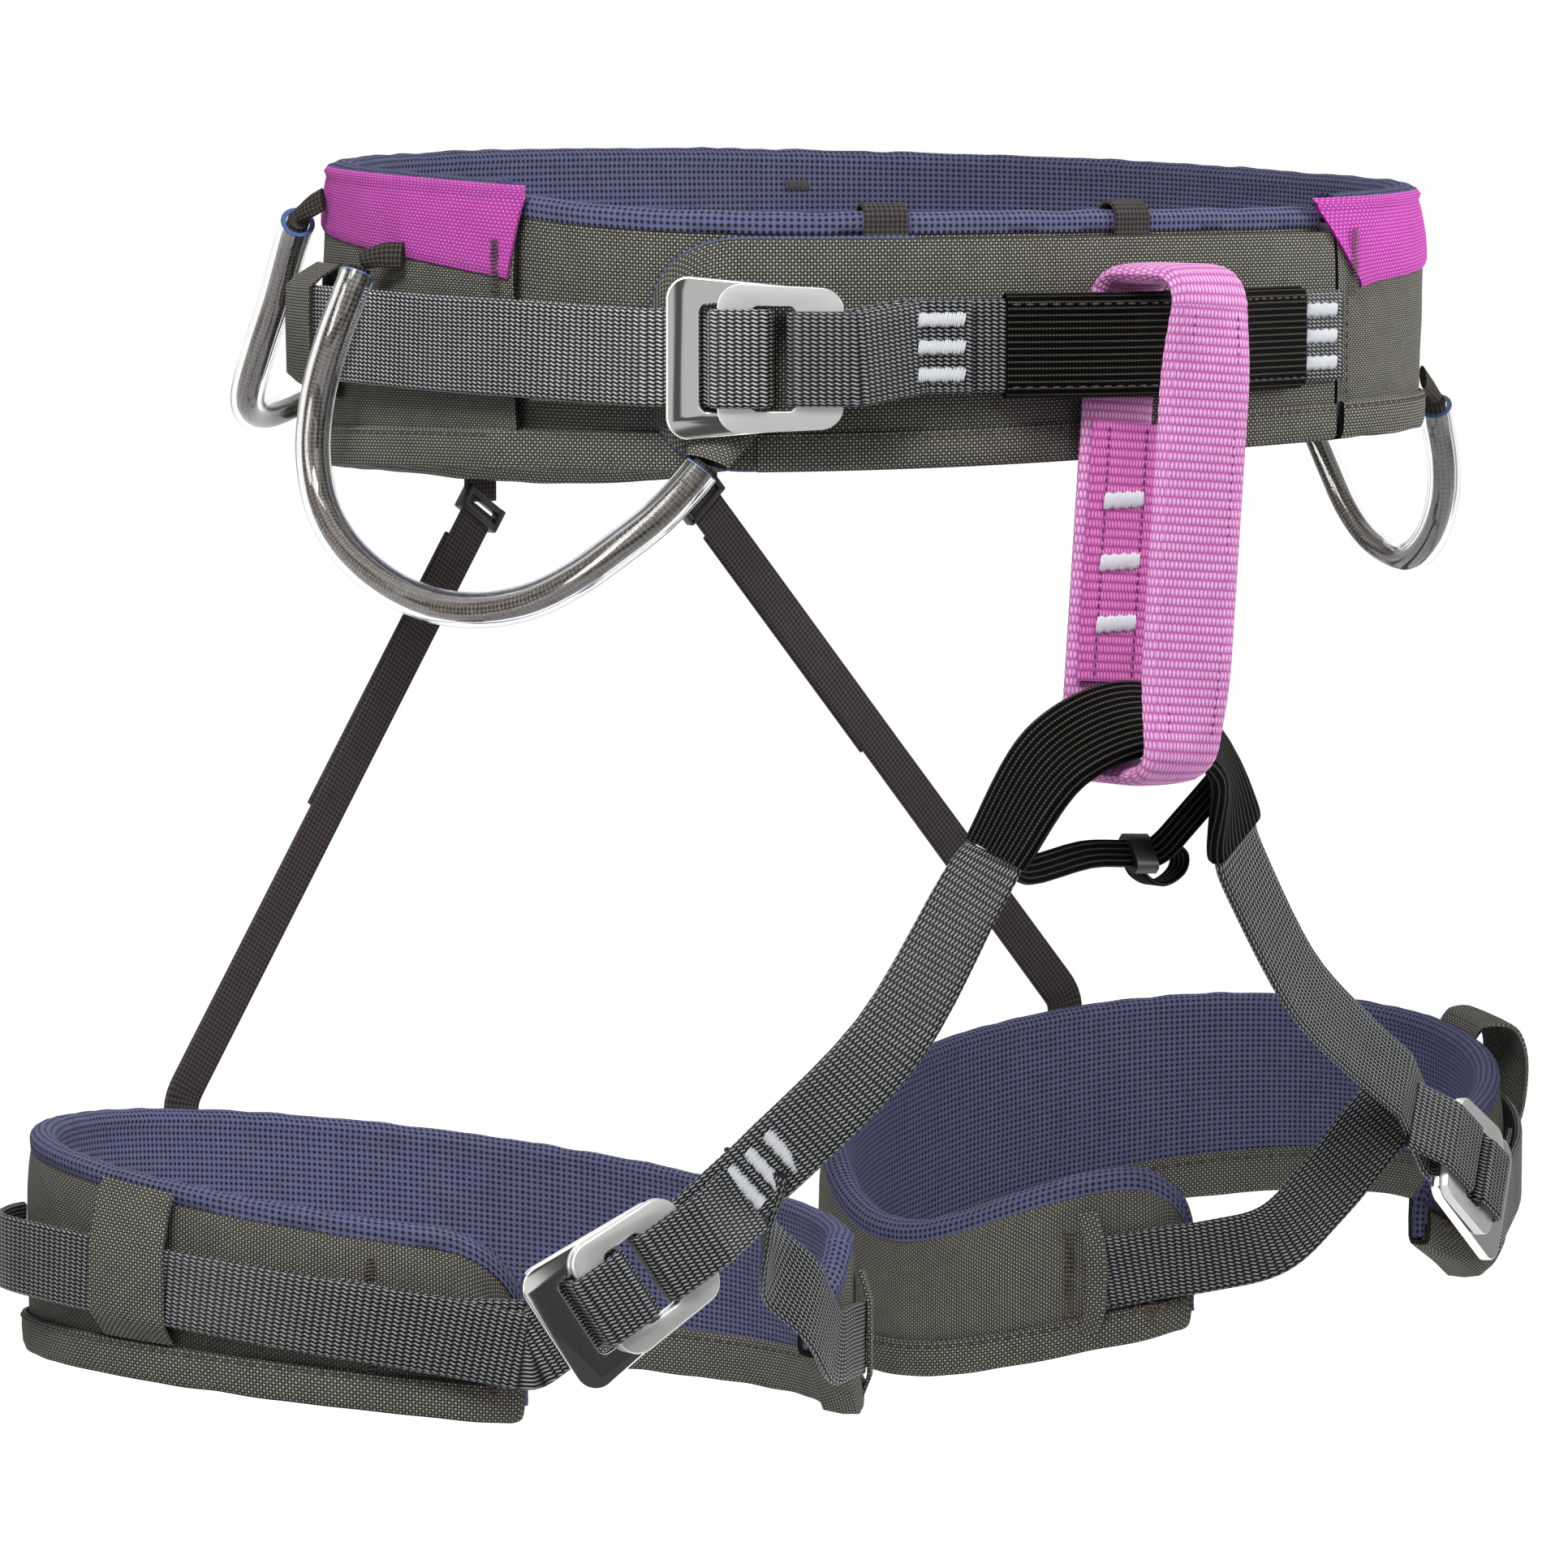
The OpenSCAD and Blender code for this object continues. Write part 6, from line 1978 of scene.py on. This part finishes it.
    def webbing(self) -> None:
        """Makes the adjustable webbing through the buckle."""
        s, q = self.surface, self.web_off
        under = q + self.keeper_gap
        on_pad = s.route(vectors((158, q, -1), (168, q + 4, -1), (178, q + 8, -1), (188, q + 5, -1),
                                 (199, under, -1), (215, under, -1), (232, under, -2), (248, q + 3.5, -3)), 4)
        wrap = self.sided(self.seat.placed(ROUTE.adjustable()))
        tail = s.route(vectors((250, q + 0.4, -4), (236, q, -2)), 4)
        v = s.side(self.seat.v)
        across = [UP] * len(on_pad) + [v] * len(wrap) + [UP] * len(tail)
        obj = strap("leg_webbing_" + self.side, on_pad + wrap + tail, across, self.web_w, self.web_t,
                    RISER_WEB)
        piece(obj, self.body, "grey_webbing", "leg_webbing_" + self.side)

    def keeper(self) -> None:
        """Makes the cloth band that keeps the webbing in place, which stands off the left pad."""
        s = self.surface
        half = self.keeper_w / s.half_w * 90 / math.pi
        rise = self.web_off + self.keeper_gap + self.web_t / 2 + 0.5

        def section(t: float) -> Section:
            top, low = s.top(t) - 1, s.bottom(t) + 9.3
            foot, h = s.shell_out + 0.3, self.web_w / 2 + 0.5
            outer = [(foot + 1, low), (rise + 0.2, -1 - h), (rise + 1, 2 - h), (rise + 1, -4 + h),
                     (rise + 0.2, -1 + h), (mix(rise, foot, 0.55) + 1, mix(h, top, 0.6)), (foot + 1, top)]
            if s.left:
                keys = [(foot + 1, low), (rise + 0.8, -1 - h), (rise + 5, 2 - h), (rise + 9, 1),
                        (rise + 10, top - 8), (rise + 6, top + 2), (foot + 2, top + 4), (foot - 1.5, top)]
                outer = [(q.x, q.y) for q in curve([Vector((o, z, 0)) for o, z in keys], 4)]
            return outer + [(o - 0.9, z - (0.8 if z > top - 6 else 0.0)) for o, z in reversed(outer)]

        lay = PadLayers(s, self.start, self.end, s.reach, 3.0)
        obj = lay.lay("leg_keeper_" + self.side, section, GREY,
                      angles=steps(self.keeper_at - half, self.keeper_at + half, 1.2))
        piece(obj, self.body, "grey_fabric", "leg_keeper_" + self.side)

    def inner_strap(self) -> None:
        """Makes the strap from the riser to the pad's inner end."""
        s, q = self.surface, self.web_off
        keys, turned = vectors((-116.5, -88.2, -214), (-111.5, -83, -225)), 11
        if s.left:
            keys, turned = vectors((-127, -79, -219), (-117, -77.5, -227)), 17
        keys += vectors((-100, -75.5, -243), (-84, -72, -256))
        keys += [s.right_at(-44, q + 1, -1), s.right_at(-36, q, -1), s.right_at(-27, q, -1)]
        pts = self.sided(curve(keys, 5))
        v = s.side(self.seat.v)
        across = [v.lerp(UP, min(1.0, i / turned)) for i in range(len(pts))]
        obj = strap("leg_inner_strap_" + self.side, pts, across, self.web_w, self.web_t, RISER_WEB)
        piece(obj, self.body, "grey_webbing", "leg_inner_strap_" + self.side)

    def front_riser(self) -> None:
        """Makes the riser from the buckle to the black arch, with its white tacks."""
        end = Vector((ROUTE.slider_to + ROUTE.travel + 15, 0, ROUTE.under + self.web_t + self.gap))
        start = self.sided(self.seat.placed([end] + ROUTE.fixed()))
        rise = [p * MM for p in curve(self.riser_keys, 5)]
        v = self.surface.side(self.seat.v)
        n = len(rise) - 1
        across = [v] * len(start) + [v.lerp(self.riser_wide, i / n) for i in range(n + 1)]
        obj = strap("front_riser_" + self.side, start + rise, across, self.web_w, self.web_t, RISER_WEB)
        piece(obj, self.body, "grey_webbing", "front_riser_" + self.side)
        path, wide = resample(start + rise, across, 1.0 * MM, 3)
        place = min(range(len(path)), key=lambda i: (path[i] - self.riser_keys[0] * MM).length)
        d = tangents(path)[place]
        a = squared(wide[place], d)
        out = a.cross(d)
        out = out if (out.dot(self.surface.side(self.seat.n)) > 0) != self.surface.left else -out
        marks = []
        for row in (-1, 0, 1):
            middle = path[place] + (out * (self.web_t / 2 + 0.6) + d * row * 6.6) * MM
            marks += tacked(middle, a, d, *WHITE_TACK)
        piece(beads("riser_bartacks_" + self.side, marks, WHITE_THREAD), self.body, "white_thread")

    def build(self) -> None:
        """Makes the leg loop's pieces."""
        self.pad()
        self.webbing()
        metal_plate("leg_buckle_frame_" + self.side, self.body, 1.1)
        metal_plate("leg_buckle_slider_" + self.side, self.body + "_slider", 1.0, SATIN)
        self.keeper()
        self.inner_strap()
        self.front_riser()


def leg_loops(tie: LowerTieIn) -> list[LegLoop]:
    """The two leg loops, with the risers that meet the arch.

    Args:
        tie: the arch.

    Returns:
        Right and left leg loop.
    """
    gap, lead = 2.3, 14.0
    r = (tie.right_key - tie.right).normalized()
    q = (tie.left_key - tie.left).normalized()
    right = vectors((-116, -91, -215), (-93, -112, -183)) + [tie.right - r * x for x in (lead, gap)]
    left = vectors((116, -90, -214), (92, -96, -200), (56, -110, -178))
    left += [tie.left - q * x for x in (lead, gap)]
    return [LegLoop(LegSurface(), right, tie.right_wide),
            LegLoop(LegSurface(left=True), left, tie.left_wide)]


def main() -> None:
    """Builds the harness and its studio."""
    logging.basicConfig(level=logging.INFO, format="%(message)s")
    Studio().build()
    WaistBelt().build()
    FrontClosure().build()
    WaistStrap().build()
    BelayLoop().build()
    for loop in gear_loops():
        loop.build()
    tie = LowerTieIn()
    tie.build()
    legs = leg_loops(tie)
    for leg in legs:
        leg.build()
    RearRiser(legs[0].surface, 112.0).build()
    RearRiser(legs[1].surface, 126.0, 196.5).build()


if __name__ == "__main__":
    main()
